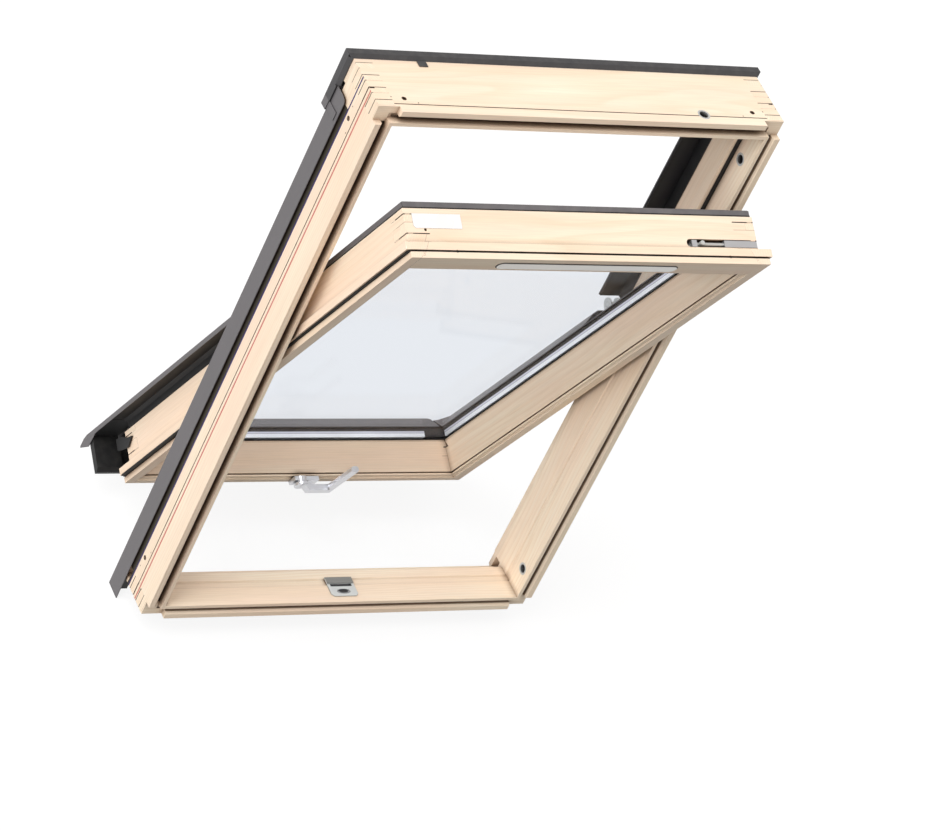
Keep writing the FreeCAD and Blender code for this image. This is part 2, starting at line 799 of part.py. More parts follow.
def head_cladding():
    """Folded hood along the head, with end plates that close it over the side bands."""
    body = new_body("head_cladding")
    seat_in_frame(body)
    top = "frame_height + hood_rise"
    outline = [
        ("hood_foot", "frame_height"),
        ("hood_edge", top),
        ("hood_far - clad_corner", top),
        ("hood_far", top + " - clad_corner"),
        ("hood_far", "frame_height - hood_low"),
        ("hood_far - sheet_thick", "frame_height - hood_low"),
        ("hood_far - sheet_thick", top + " - clad_corner - sheet_thick"),
        ("hood_far - clad_corner - sheet_thick", top + " - sheet_thick"),
        ("hood_edge + sheet_thick / 2", top + " - sheet_thick"),
        ("hood_foot + 1.5 * sheet_thick", "frame_height"),
    ]
    reach = "(%s + hood_side)" % HALF
    pad(body, "YZ_Plane", "-1 * " + reach, "2 * " + reach, outline)
    for side, sign in SIDES:
        corner = [
            (from_edge(sign, "-1 * hood_side"), "hood_edge"),
            (from_edge(sign, "-1 * hood_side"), "hood_foot - 1"),
            (from_edge(sign, "-1 * sheet_thick"), "hood_foot - 1"),
            (from_edge(sign, "-1 * sheet_thick"), "hood_foot"),
        ]
        pocket(body, "XY_Plane", "frame_height - band_drop", "band_drop + " + OVERCUT, corner)
        rim = [
            (from_edge(sign, "-1 * hood_side"), "hood_edge"),
            (from_edge(sign, "-1 * sheet_thick"), "hood_foot"),
            (from_edge(sign, "0"), "hood_foot"),
            (from_edge(sign, "0"), "hood_foot + sheet_thick"),
            (from_edge(sign, "-1 * sheet_thick"), "hood_foot + sheet_thick"),
            (from_edge(sign, "sheet_thick - hood_side"), "hood_edge + sheet_thick"),
        ]
        rim_low = "frame_height - band_drop + pane_clear"
        pad(body, "XY_Plane", rim_low, "band_drop - pane_clear", rim)
        flank = rectangle(
            from_edge(sign, "-1 * hood_side"), from_edge(sign, "sheet_thick - hood_side"),
            "hood_edge", "hood_far")
        flank_low = "frame_height - hood_end_drop"
        pad(body, "XY_Plane", flank_low, "hood_end_drop + hood_rise - clad_corner", flank)
        lap = rectangle(
            from_edge(sign, "-1 * hood_side"), from_edge(sign, "sheet_thick - hood_side"),
            "band_far - 2 * sheet_thick", "hood_edge")
        pad(body, "XY_Plane", flank_low, "hood_end_drop - band_drop", lap)
    return body


def corner_tab(side, sign):
    """Clip at the lower end of the hood's side, folded onto the side band and screwed to it."""
    body = new_body("corner_tab_" + side)
    seat_in_frame(body)
    high = "frame_height - hood_end_drop"
    skin = "band_stand + sheet_thick"
    plate = rectangle(
        from_edge(sign, "-1 * (%s)" % skin), from_edge(sign, "-1 * band_stand"), "tab_near", "tab_wrap")
    pad(body, "XY_Plane", high + " - tab_tall", "tab_tall", plate)
    wrap = [
        (from_edge(sign, "-1 * hood_side"), "tab_wrap"),
        (from_edge(sign, "-1 * hood_side"), "hood_far"),
        (from_edge(sign, "-1 * band_stand"), "hood_far"),
        (from_edge(sign, "-1 * band_stand"), "tab_wrap"),
    ]
    pad(body, "XY_Plane", high + " - tab_tall - tab_fold", "tab_tall + tab_fold", wrap)
    return body


def head_strap():
    """Short dark strap from the hood onto the top of the head."""
    body = new_body("head_strap")
    seat_in_frame(body)
    left = "-1 * strap_side"
    outline = rectangle(left, left + " + strap_wide", "strap_near", "hood_foot")
    pad(body, "XY_Plane", "frame_height", "sheet_thick", outline)
    return body


def end_seal(side, sign):
    """Black end piece that closes the foot of the side band."""
    body = new_body("end_seal_" + side)
    seat_in_frame(body)
    outer = from_edge(sign, "sheet_thick - band_stand")
    leg = from_edge(sign, "band_return - sheet_thick")
    inner = from_edge(sign, "end_seal_wide")
    outline = [
        (outer, "end_seal_near"),
        (inner, "end_seal_near"),
        (inner, "timber_depth - pane_clear"),
        (leg, "timber_depth - pane_clear"),
        (leg, "band_far - sheet_thick"),
        (outer, "band_far - sheet_thick"),
    ]
    pad(body, "XY_Plane", "-1 * end_seal_tall", "end_seal_tall", outline)
    return body


def frame_hinge(side, sign):
    """Hinge plate on the jamb with a rounded end that carries the pivot pin."""
    body = new_body("frame_hinge_" + side)
    seat_in_frame(body)
    inner = "%s - frame_inset" % HALF
    plate_start = inner + " - hinge_plate" if sign == "" else "-1 * (%s)" % inner
    low = "pivot_height + stop_clear - hinge_play - frame_hinge_long"
    outline = rectangle("frame_hinge_near", "pivot_depth", low, low + " + frame_hinge_long")
    pad(body, "YZ_Plane", plate_start, "hinge_plate", outline)
    round_pad(body, "YZ_Plane", plate_start, "hinge_plate", "pivot_depth", "pivot_height", "hinge_eye")
    reach = "%s - core_setback" % SASH_HALF
    pin_long = "(%s) - (%s)" % (inner, reach)
    pin_start = reach if sign == "" else "-1 * (%s)" % inner
    round_pad(body, "YZ_Plane", pin_start, pin_long, "pivot_depth", "pivot_height", "hinge_pin")
    return body


TOP = "sash_top_reach"
FOOT = "(sash_top_reach - sash_height)"


def sash_outline(at, face, sight):
    """Cross section shared by the sash members: lip, seal slot, flange, rebate, splay and bead."""
    return [
        (at("lip_setback"), "0"),
        (at(face), "0"),
        (at(face + " + 2"), "3"),
        (at(face + " + bead_step"), "4"),
        (at(face + " + bead_step"), "bead_depth"),
        (at(face + " + bead_step - bead_groove"), "bead_depth"),
        (at(face + " + bead_step - bead_groove"), "bead_depth + 2"),
        (at(face + " + bead_step + 1.5"), "bead_depth + 2"),
        (at(sight), "splay_depth"),
        (at(sight), "rebate_depth"),
        (at("rebate_inset"), "rebate_depth"),
        (at("rebate_inset"), "sash_depth"),
        (at("core_setback"), "sash_depth"),
        (at("core_setback"), "flange_depth"),
        (at("0"), "flange_depth"),
        (at("0"), "sash_lip_depth + sash_slot_width"),
        (at("sash_slot_sink"), "sash_lip_depth + sash_slot_width"),
        (at("sash_slot_sink"), "sash_lip_depth"),
        (at("lip_setback"), "sash_lip_depth"),
    ]


def swap(points):
    return [(deep, across) for across, deep in points]


def sash_stile(side, sign):
    """Stile over the sash's full height, with slots for the fingers of the head and the rail."""
    body = new_body("sash_stile_" + side)
    seat_in_sash(body)

    def at(inset):
        return from_edge(sign, inset, SASH_HALF)

    pad(body, "XY_Plane", FOOT, "sash_height", sash_outline(at, "stile_face", "side_sight"))
    slot = rectangle(
        at("-1 * " + OVERCUT), at("side_sight + 2"),
        "sash_finger_start + sash_finger_thick", "sash_finger_start + sash_finger_pitch")
    top_slot = pocket(body, "XY_Plane", TOP + " - side_sight", "side_sight + " + OVERCUT, slot)
    foot_low = FOOT + " - " + OVERCUT
    foot_slot = pocket(body, "XY_Plane", foot_low, "side_sight + " + OVERCUT, slot)
    repeat_along(
        body, "Y_Axis", [top_slot, foot_slot],
        "sash_finger_pitch * (sash_finger_count - 1)", "sash_finger_count")
    end_trim = rectangle(at("-1 * " + OVERCUT), at("side_sight + 2"), "flange_depth", "sash_depth + 5")
    pocket(body, "XY_Plane", TOP + " - core_setback", OVERCUT, end_trim)
    pocket(body, "XY_Plane", FOOT + " - " + OVERCUT, OVERCUT + " + core_setback", end_trim)
    seal_slot = rectangle(
        at("-1 * " + OVERCUT), at("side_sight + 2"),
        "sash_lip_depth", "sash_lip_depth + sash_slot_width")
    pocket(body, "XY_Plane", TOP + " - sash_slot_sink", "sash_slot_sink + " + OVERCUT, seal_slot)
    pocket(body, "XY_Plane", FOOT + " - " + OVERCUT, "sash_slot_sink + " + OVERCUT, seal_slot)
    return body


def bolt_slot(body):
    """Slot for the barrel bolt along the top of the sash, open at the stile's outer side."""
    low = TOP + " - core_setback - bolt_slot_sink"
    near = "bolt_depth - bolt_slot_width / 2"
    slot = rectangle("bolt_slot_start", SASH_HALF, near, near + " + bolt_slot_width")
    pocket(body, "XY_Plane", low, "bolt_slot_sink + " + OVERCUT, slot)


stiles = {}
for side, sign in SIDES:
    stiles[side] = sash_stile(side, sign)
bolt_slot(stiles["right"])


def sash_cross(label, top):
    """Head or bottom rail of the sash, coped between the stiles and fingered through them."""
    body = new_body(label + "_blank")
    seat_in_sash(body)

    def up(inset):
        return "%s - (%s)" % (TOP, inset) if top else "%s + (%s)" % (FOOT, inset)

    if top:
        points = sash_outline(up, "head_face", "head_sight")
    else:
        points = sash_outline(up, "rail_face", "bottom_sight")
    points[0] = (up("0"), "0")
    points[-1] = (up("0"), "sash_lip_depth")
    reach = "(%s - core_setback)" % SASH_HALF
    pad(body, "YZ_Plane", "-1 * " + reach, "2 * " + reach, swap(points))
    return body


def sash_finger_gaps(body, sign, low, tall, face_low, face_tall):
    """Open joint lines beside the sash's fingers, in the edge and the outer side of the corner."""
    near = "sash_finger_start + sash_finger_thick"
    outer = from_edge(sign, "core_setback - " + OVERCUT, SASH_HALF)
    edge = rectangle(outer, from_edge(sign, "side_sight", SASH_HALF), near, near + " + joint_gap")
    edge_gap = pocket(body, "XY_Plane", face_low, face_tall, edge)
    inner = from_edge(sign, "core_setback + joint_gap_sink", SASH_HALF)
    side_gap = pocket(body, "XY_Plane", low, tall, rectangle(outer, inner, near, near + " + joint_gap"))
    repeat_along(
        body, "Y_Axis", [edge_gap, side_gap],
        "sash_finger_pitch * (sash_finger_count - 1)", "sash_finger_count")


def sash_head():
    body = sash_cross("sash_head", True)
    for side, sign in SIDES:
        sash_finger_gaps(
            body, sign, TOP + " - side_sight", "side_sight - core_setback",
            TOP + " - core_setback - joint_gap_sink", "joint_gap_sink + " + OVERCUT)
    core_top = TOP + " - core_setback"
    round_pocket(
        body, "XY_Plane", core_top + " - small_hole_deep", "small_hole_deep + core_setback",
        "-1 * plate_hole_side", "plate_hole_depth", "small_hole")
    slot_middle = "sash_lip_depth + sash_slot_width / 2"
    for across in ("-1 * slot_hole_left", "slot_hole_right"):
        round_pocket(
            body, "XY_Plane", TOP + " - sash_slot_sink - small_hole_deep", "small_hole_deep + " + OVERCUT,
            across, slot_middle, "small_hole")
    bolt_slot(body)
    low = TOP + " - core_setback - bolt_slot_sink"
    round_pocket(
        body, "XY_Plane", low, "bolt_slot_sink + " + OVERCUT,
        "bolt_slot_start", "bolt_depth", "bolt_slot_width")
    high = TOP + " - vent_inset"
    straight = "(vent_long - vent_tall) / 2"
    recess = rectangle("-1 * " + straight, straight, high + " - vent_tall", high)
    pocket(body, "XZ_Plane", "-1 * " + OVERCUT, OVERCUT + " + vent_sink", recess)
    for end in ("-1 * " + straight, straight):
        round_pocket(
            body, "XZ_Plane", "-1 * " + OVERCUT, OVERCUT + " + vent_sink",
            end, high + " - vent_tall / 2", "vent_tall")
    return cut_by("sash_head", body, [stiles["left"], stiles["right"]])


def sash_bottom_rail():
    body = sash_cross("sash_bottom_rail", False)
    for side, sign in SIDES:
        sash_finger_gaps(
            body, sign, FOOT + " + core_setback", "side_sight - core_setback",
            FOOT + " + core_setback - " + OVERCUT, OVERCUT + " + joint_gap_sink")
    return cut_by("sash_bottom_rail", body, [stiles["left"], stiles["right"]])


def pane(label, near):
    """One sheet of the insulating glass unit."""
    body = new_body(label)
    seat_in_sash(body)
    edge = "(rebate_inset + glass_edge_gap)"
    half = "(%s - %s)" % (SASH_HALF, edge)
    outline = rectangle("-1 * " + half, half, FOOT + " + " + edge, TOP + " - " + edge)
    pad(body, "XZ_Plane", near, "glass_thick", outline)
    return body


def ring(label, near, deep, outer, inner_side, inner_foot, inner_top):
    """Rectangular ring that follows the sash, from an outer inset to inner insets."""
    body = new_body(label)
    seat_in_sash(body)
    outside = "(%s - (%s))" % (SASH_HALF, outer)
    outline = rectangle(
        "-1 * " + outside, outside, "%s + (%s)" % (FOOT, outer), "%s - (%s)" % (TOP, outer))
    pad(body, "XZ_Plane", near, deep, outline)
    inside = "(%s - (%s))" % (SASH_HALF, inner_side)
    opening = rectangle(
        "-1 * " + inside, inside, "%s + (%s)" % (FOOT, inner_foot), "%s - (%s)" % (TOP, inner_top))
    pocket(body, "XZ_Plane", near, deep, opening)
    return body


UNIT_NEAR = "(rebate_depth + glazing_seal_thick)"
UNIT_FAR = "(rebate_depth + glazing_seal_thick + 2 * glass_thick + glass_gap)"


def glazing_unit():
    edge = "rebate_inset + glass_edge_gap"
    lip = "glazing_seal_lip"
    ring(
        "glazing_seal", "rebate_depth", "glazing_seal_thick", edge,
        "side_sight + " + lip, "bottom_sight + " + lip, "head_sight + " + lip)
    pane("inner_pane", UNIT_NEAR)
    inset = "spacer_inset"
    ring("spacer_bar", UNIT_NEAR + " + glass_thick", "glass_gap", inset + " - spacer_wide", inset, inset, inset)
    pane("outer_pane", UNIT_NEAR + " + glass_thick + glass_gap")


def cladding_seal():
    """Thin black seal between the timber and the cladding of the sash."""
    return ring(
        "cladding_seal", "sash_depth", "clad_seal", "clad_edge",
        "rebate_inset - 1", "rebate_inset - 1", "rebate_inset - 1")


def clad_profile(at):
    """Folded sheet that covers the edge of the glass on the upper half of the sash."""
    near = "sash_depth + clad_seal"
    foot = UNIT_FAR + " + pane_clear"
    edge = "clad_edge"
    inner = "clad_inset"
    thick = "sheet_thick"
    return [
        (at(edge), near),
        (at(edge), "clad_top - clad_corner"),
        (at(edge + " + clad_corner"), "clad_top"),
        (at(inner + " - clad_corner"), "clad_top"),
        (at(inner), "clad_top - clad_corner"),
        (at(inner), foot),
        (at(inner + " - " + thick), foot),
        (at(inner + " - " + thick), "clad_top - clad_corner - " + thick),
        (at(inner + " - clad_corner - " + thick), "clad_top - " + thick),
        (at(edge + " + clad_corner + " + thick), "clad_top - " + thick),
        (at(edge + " + " + thick), "clad_top - clad_corner - " + thick),
        (at(edge + " + " + thick), near),
    ]


def sash_head_strip():
    body = new_body("sash_head_strip")
    seat_in_sash(body)

    def up(inset):
        return "%s - (%s)" % (TOP, inset)

    reach = "(%s - clad_edge)" % SASH_HALF
    pad(body, "YZ_Plane", "-1 * " + reach, "2 * " + reach, swap(clad_profile(up)))
    for side, sign in SIDES:
        over_stile = rectangle(
            from_edge(sign, "0", SASH_HALF), from_edge(sign, "clad_inset - sheet_thick", SASH_HALF),
            UNIT_FAR, "clad_top - clad_corner - sheet_thick")
        pocket(body, "XY_Plane", up("clad_inset + 1"), "sheet_thick + clad_corner + 1", over_stile)
    return body


def upper_strip(side, sign):
    body = new_body("sash_edge_strip_" + side)
    seat_in_sash(body)

    def at(inset):
        return from_edge(sign, inset, SASH_HALF)

    long = TOP + " - clad_inset - 0.5 + wing_gap - 1"
    pad(body, "XY_Plane", "1 - wing_gap", long, clad_profile(at))
    return body


def wing_profile(at):
    """Wide folded sheet of the lower half, reaching out over the frame."""
    foot = UNIT_FAR + " + pane_clear"
    inner = "clad_inset"
    thick = "sheet_thick"
    out = "-1 * wing_over"
    return [
        (at(out), "wing_top - wing_leg"),
        (at(out), "wing_top"),
        (at("wing_slope"), "wing_top"),
        (at(inner), "wing_shoulder"),
        (at(inner), foot),
        (at(inner + " - " + thick), foot),
        (at(inner + " - " + thick), "wing_shoulder - " + thick),
        (at("wing_slope - " + thick), "wing_top - " + thick),
        (at(out + " + " + thick), "wing_top - " + thick),
        (at(out + " + " + thick), "wing_top - wing_leg"),
    ]


WING_FOOT = "(%s - skirt_drop)" % FOOT


def side_cover(side, sign):
    body = new_body("side_cover_" + side)
    seat_in_sash(body)

    def at(inset):
        return from_edge(sign, inset, SASH_HALF)

    pad(body, "XY_Plane", WING_FOOT, "-1 * wing_gap - " + WING_FOOT, wing_profile(at))
    over_rail = rectangle(
        at("clad_inset + 1"), at("clad_inset - sheet_thick - 1"),
        UNIT_FAR, "wing_shoulder - sheet_thick")
    pocket(body, "XY_Plane", WING_FOOT, "skirt_drop + clad_inset", over_rail)
    nose = [
        ("wing_top", WING_FOOT + " + wing_leg"),
        ("wing_top", WING_FOOT + " - wing_nose * 0.3"),
        ("wing_top - wing_nose_wide * 0.2", WING_FOOT + " - wing_nose * 0.75"),
        ("wing_top - wing_nose_wide * 0.5", WING_FOOT + " - wing_nose"),
        ("wing_top - wing_nose_wide * 0.7", WING_FOOT + " - wing_nose * 0.75"),
        ("wing_top - wing_nose_wide", WING_FOOT),
        ("wing_top - wing_leg", WING_FOOT + " + wing_nose"),
        ("wing_top - wing_leg", WING_FOOT + " + wing_leg"),
    ]
    nose_start = "%s + wing_over - sheet_thick" % SASH_HALF if sign == "" else at("-1 * wing_over")
    pad(body, "YZ_Plane", nose_start, "sheet_thick", nose)
    return body


LINER_TOP = "wing_top - sheet_thick - pane_clear"


def cover_liner(side, sign):
    """Black liner that carries the wide side cover on the stile."""
    body = new_body("cover_liner_" + side)
    seat_in_sash(body)

    def at(inset):
        return from_edge(sign, inset, SASH_HALF)

    low = "wing_top - liner_drop"
    outline = [
        (at("sheet_thick + 1 - wing_over"), low),
        (at("sheet_thick + 1 - wing_over"), LINER_TOP),
        (at("wing_slope - sheet_thick"), LINER_TOP),
        (at("liner_inset"), "wing_top - liner_drop"),
        (at("liner_inset"), "sash_depth + clad_seal"),
        (at("clad_edge"), "sash_depth + clad_seal"),
        (at("clad_edge"), low + " - 5"),
        (at("clad_edge - 7"), low),
    ]
    low_end = FOOT + " + liner_inset"
    pad(body, "XY_Plane", low_end, "-1 * wing_gap - " + FOOT + " - liner_inset", outline)
    return body


def bottom_cover():
    """Grey sheet over the bottom rail, between the two side covers."""
    body = new_body("bottom_cover")
    seat_in_sash(body)

    def up(inset):
        return "%s + (%s)" % (FOOT, inset)

    foot = UNIT_FAR + " + pane_clear"
    thick = "sheet_thick"
    outline = [
        (foot, up("clad_inset")),
        ("wing_shoulder", up("clad_inset")),
        ("wing_top", up("wing_slope")),
        ("wing_top", up("-1 * skirt_drop")),
        ("wing_top - wing_leg", up("-1 * skirt_drop")),
        ("wing_top - wing_leg", up(thick + " - skirt_drop")),
        ("wing_top - " + thick, up(thick + " - skirt_drop")),
        ("wing_top - " + thick, up("wing_slope - " + thick)),
        ("wing_shoulder - " + thick, up("clad_inset - " + thick)),
        (foot, up("clad_inset - " + thick)),
    ]
    reach = "(%s - clad_inset - 0.5)" % SASH_HALF
    pad(body, "YZ_Plane", "-1 * " + reach, "2 * " + reach, outline)
    return body


SKIRT_FOOT = "sheet_thick + 0.5 - skirt_drop"


def bottom_skirt():
    """Black skirt that hangs from the bottom rail and shields the sill from the weather."""
    body = new_body("bottom_skirt")
    seat_in_sash(body)

    def up(inset):
        return "%s + (%s)" % (FOOT, inset)

    low = "wing_top - liner_drop"
    shelf = "wing_shoulder - sheet_thick - pane_clear"
    outline = [
        ("skirt_near", up(SKIRT_FOOT)),
        ("skirt_near", up(SKIRT_FOOT + " + skirt_thick")),
        (shelf + " - skirt_thick", up(SKIRT_FOOT + " + skirt_thick")),
        (shelf + " - skirt_thick", up("clad_edge - 7")),
        ("sash_depth + clad_seal", up("clad_edge")),
        ("sash_depth + clad_seal", up("liner_inset")),
        (shelf, up("liner_inset")),
        (shelf, up(SKIRT_FOOT)),
    ]
    reach = "(%s + wing_over - sheet_thick - 1 - block_wide - 0.5)" % SASH_HALF
    pad(body, "YZ_Plane", "-1 * " + reach, "2 * " + reach, outline)
    raised = [
        (shelf + " - skirt_thick", up(SKIRT_FOOT)),
        (LINER_TOP, up(SKIRT_FOOT)),
        (LINER_TOP, up("wing_slope - sheet_thick")),
        (low, up("liner_inset")),
        (shelf + " - skirt_thick", up("liner_inset")),
    ]
    inner = "(%s - clad_inset - 0.5)" % SASH_HALF
    pad(body, "YZ_Plane", "-1 * " + inner, "2 * " + inner, raised)
    return body


def end_block(side, sign):
    """Moulded black block that closes the end of the skirt below the stile."""
    body = new_body("end_block_" + side)
    seat_in_sash(body)

    def up(inset):
        return "%s + (%s)" % (FOOT, inset)

    foot = SKIRT_FOOT
    outline = [
        ("skirt_near", up(foot)),
        ("skirt_near", up(foot + " + block_foot * 0.6")),
        ("skirt_near + 8", up(foot + " + block_foot")),
        ("block_arm", up(foot + " + block_foot")),
        ("block_arm", up("liner_inset - 0.5")),
        (LINER_TOP + " - 1", up("liner_inset - 0.5")),
        (LINER_TOP + " - 1", up(foot)),
    ]
    outer = "%s + wing_over - sheet_thick - 1" % SASH_HALF
    start = outer + " - block_wide" if sign == "" else "-1 * (%s)" % outer
    pad(body, "YZ_Plane", start, "block_wide", outline)
    slope = [
        (from_edge(sign, "wing_slope - 2 * sheet_thick", SASH_HALF), LINER_TOP),
        (from_edge(sign, "clad_inset - sheet_thick", SASH_HALF), "wing_shoulder - sheet_thick - 1"),
        (from_edge(sign, "clad_inset - sheet_thick", SASH_HALF), LINER_TOP),
    ]
    pocket(body, "XY_Plane", WING_FOOT, "skirt_drop + clad_inset", slope)
    return body


def sash_seal():
    """Black seal in the slot of the flange, with a wider fin on the lower half."""
    near = "sash_lip_depth + pane_clear"
    thick = "sash_slot_width - 2 * pane_clear"
    base = ring(
        "sash_seal_ring", near, thick, "lip_setback - 3",
        "sash_slot_sink - pane_clear", "sash_slot_sink - pane_clear", "sash_slot_sink - pane_clear")
    pieces = [base]
    for side, sign in SIDES:
        body = new_body("sash_seal_fin_" + side)
        seat_in_sash(body)
        outline = rectangle(
            from_edge(sign, "-1.5", SASH_HALF), from_edge(sign, "lip_setback", SASH_HALF),
            near, near + " + " + thick)
        pad(body, "XY_Plane", FOOT + " + 8", "-1 * wing_gap - 8 - " + FOOT, outline)
        pieces.append(body)
    return fuse("sash_seal", pieces)


def sash_hinge(side, sign):
    """Hinge plate on the stile with the eye that turns on the pivot pin."""
    body = new_body("sash_hinge_" + side)
    seat_in_sash(body)
    reach = "%s - core_setback" % SASH_HALF
    start = reach if sign == "" else "-1 * (%s) - hinge_plate" % reach
    outline = rectangle("sash_hinge_near", AXIS_DEPTH, "-1 * hinge_eye / 2", "hinge_eye / 2")
    pad(body, "YZ_Plane", start, "hinge_plate", outline)
    root = rectangle(
        "sash_hinge_near", "sash_depth - 2", "-1 * sash_hinge_long / 2", "sash_hinge_long / 2")
    pad(body, "YZ_Plane", start, "hinge_plate", root)
    round_pad(body, "YZ_Plane", start, "hinge_plate", AXIS_DEPTH, "0", "hinge_eye")
    round_pocket(
        body, "YZ_Plane", start + " - 5", "hinge_plate + 10",
        AXIS_DEPTH, "0", "hinge_pin + 2 * hinge_play")
    return body


BOLT_LEVEL = "(%s - core_setback - bolt_slot_sink / 2)" % TOP


def bolt_housing():
    """Zinc housing of the barrel bolt: floor, rear guide and long barrel at the stile's edge."""
    body = new_body("bolt_housing")
    seat_in_sash(body)
    low = TOP + " - core_setback - bolt_slot_sink + pane_clear"
    near = "bolt_depth - bolt_slot_width / 2 + 1"
    far = "bolt_depth + bolt_slot_width / 2 - 1"
    end = "%s - core_setback" % SASH_HALF
    floor = rectangle("bolt_rod_start", end, near, far)
    pad(body, "XY_Plane", low, "bolt_wall", floor)
    high = "bolt_slot_sink - pane_clear - bolt_wall"
    barrel = rectangle("bolt_barrel_start", end, near, far)
    pad(body, "XY_Plane", low, high, barrel)
    guide = rectangle("bolt_rod_start", "bolt_rod_start + bolt_guide_long", near, far)
    pad(body, "XY_Plane", low, high, guide)
    round_pocket(
        body, "YZ_Plane", "bolt_rod_start - 5", "sash_width / 2",
        "bolt_depth", BOLT_LEVEL, "bolt_rod + 2 * pane_clear")
    return body


def bolt_rod():
    """Sliding rod of the barrel bolt with its thumb knob."""
    body = new_body("bolt_rod")
    seat_in_sash(body)
    tip = "%s - core_setback - bolt_back" % SASH_HALF
    start = "bolt_rod_start + 2"
    round_pad(
        body, "YZ_Plane", start, tip + " - bolt_rod_start - 2", "bolt_depth", BOLT_LEVEL, "bolt_rod")
    knob_high = TOP + " - core_setback + bolt_knob_rise"
    round_pad(
        body, "XY_Plane", BOLT_LEVEL, knob_high + " - " + BOLT_LEVEL,
        "bolt_knob_side", "bolt_depth", "bolt_knob")
    return body


def vent_bar():
    """Long vent bar with rounded ends, let into the room face of the sash's head."""
    body = new_body("vent_bar")
    seat_in_sash(body)
    high = TOP + " - vent_inset"
    straight = "(vent_long - vent_tall) / 2"
    thick = "vent_sink + vent_proud"
    inside = rectangle(
        "-1 * " + straight, straight, high + " - vent_tall + pane_clear", high + " - pane_clear")
    pad(body, "XZ_Plane", "-1 * vent_proud", thick, inside)
    for end in ("-1 * " + straight, straight):
        round_pad(
            body, "XZ_Plane", "-1 * vent_proud", thick,
            end, high + " - vent_tall / 2", "vent_tall - 2 * pane_clear")
    return body


def type_plate():
    """Small bare plate on the top of the sash's head."""
    body = new_body("type_plate")
    seat_in_sash(body)
    left = "-1 * plate_left"
    right = "plate_long - plate_left"
    far = "plate_near + plate_wide"
    outline = [
        (left, "plate_near + plate_corner"),
        (left + " + plate_corner", "plate_near"),
        (right + " - plate_corner / 4", "plate_near"),
        (right, "plate_near + plate_corner / 4"),
        (right, far),
        (left, far),
    ]
    pad(body, "XY_Plane", TOP + " - core_setback", "plate_thick", outline)
    return body


HANDLE_LEVEL = "(%s + handle_height)" % FOOT


def handle_base():
    """Base plate of the handle on the bottom rail, with the boss that the lever turns on."""
    body = new_body("handle_base")
    seat_in_sash(body)
    left = "handle_side + handle_base_shift - handle_base_wide / 2"
    top = HANDLE_LEVEL + " + handle_base_top"
    outline = rectangle(left, left + " + handle_base_wide", top + " - handle_base_tall", top)
    pad(body, "XZ_Plane", "-1 * handle_base_thick", "handle_base_thick", outline)
    long = "lever_root_near - pane_clear"
    round_pad(body, "XZ_Plane", "-1 * (%s)" % long, long, "handle_side", HANDLE_LEVEL, "handle_boss")
    return body


def handle_lever():
    """Cranked lever: hub, a step towards the room, a short arm and the grip turned up the sash."""
    body = new_body("handle_lever")
    seat_in_sash(body)
    thick = "(lever_root_far - lever_root_near)"
    round_pad(body, "XZ_Plane", "-1 * lever_root_far", thick, "handle_side", HANDLE_LEVEL, "lever_hub")
    right = "handle_side + lever_elbow + lever_grip_wide / 2"
    crank = [
        ("handle_side - 2", "-1 * lever_root_far"),
        ("handle_side + 5", "-1 * lever_far"),
        (right + " - lever_bevel", "-1 * lever_far"),
        (right, "lever_bevel - lever_far"),
        (right, "-1 * lever_near"),
        ("handle_side + 16", "-1 * lever_near"),
        ("handle_side + 11", "-1 * lever_root_near"),
        ("handle_side - 2", "-1 * lever_root_near"),
    ]
    low = HANDLE_LEVEL + " + lever_arm_low"
    pad(body, "XY_Plane", low, "lever_arm_high - lever_arm_low", crank)
    left = right + " - lever_grip_wide"
    grip = [
        (left + " + lever_bevel", "-1 * lever_far"),
        (right + " - lever_bevel", "-1 * lever_far"),
        (right, "lever_bevel - lever_far"),
        (right, "-1 * lever_near - lever_bevel"),
        (right + " - lever_bevel", "-1 * lever_near"),
        (left + " + lever_bevel", "-1 * lever_near"),
        (left, "-1 * lever_near - lever_bevel"),
        (left, "lever_bevel - lever_far"),
    ]
    pad(body, "XY_Plane", low, "lever_grip", grip)
    return body


nodes = [jambs["left"], jambs["right"], frame_head(), frame_sill(), frame_seal(), bolt_bushes()]
nodes += [keeper_plate(), head_cladding(), head_strap()]
for side, sign in SIDES:
    nodes.append(side_cladding(side, sign))
    nodes.append(upper_lining(side, sign))
    nodes.append(upper_cover(side, sign))
for label, make in (("corner_tabs", corner_tab), ("end_seals", end_seal), ("frame_hinges", frame_hinge)):
    nodes.append(join_apart(label, [make(side, sign) for side, sign in SIDES]))

nodes += [stiles["left"], stiles["right"], sash_head(), sash_bottom_rail()]
glazing_unit()
for label in ("glazing_seal", "inner_pane", "spacer_bar", "outer_pane"):
    nodes.append(doc.getObject(label))
nodes += [cladding_seal(), sash_head_strip(), bottom_cover(), bottom_skirt(), sash_seal()]
for side, sign in SIDES:
    nodes.append(side_cover(side, sign))
    nodes.append(cover_liner(side, sign))
    nodes.append(end_block(side, sign))
for label, make in (("sash_edge_strips", upper_strip), ("sash_hinges", sash_hinge)):
    nodes.append(join_apart(label, [make(side, sign) for side, sign in SIDES]))
nodes += [bolt_housing(), bolt_rod(), vent_bar(), type_plate(), handle_base(), handle_lever()]

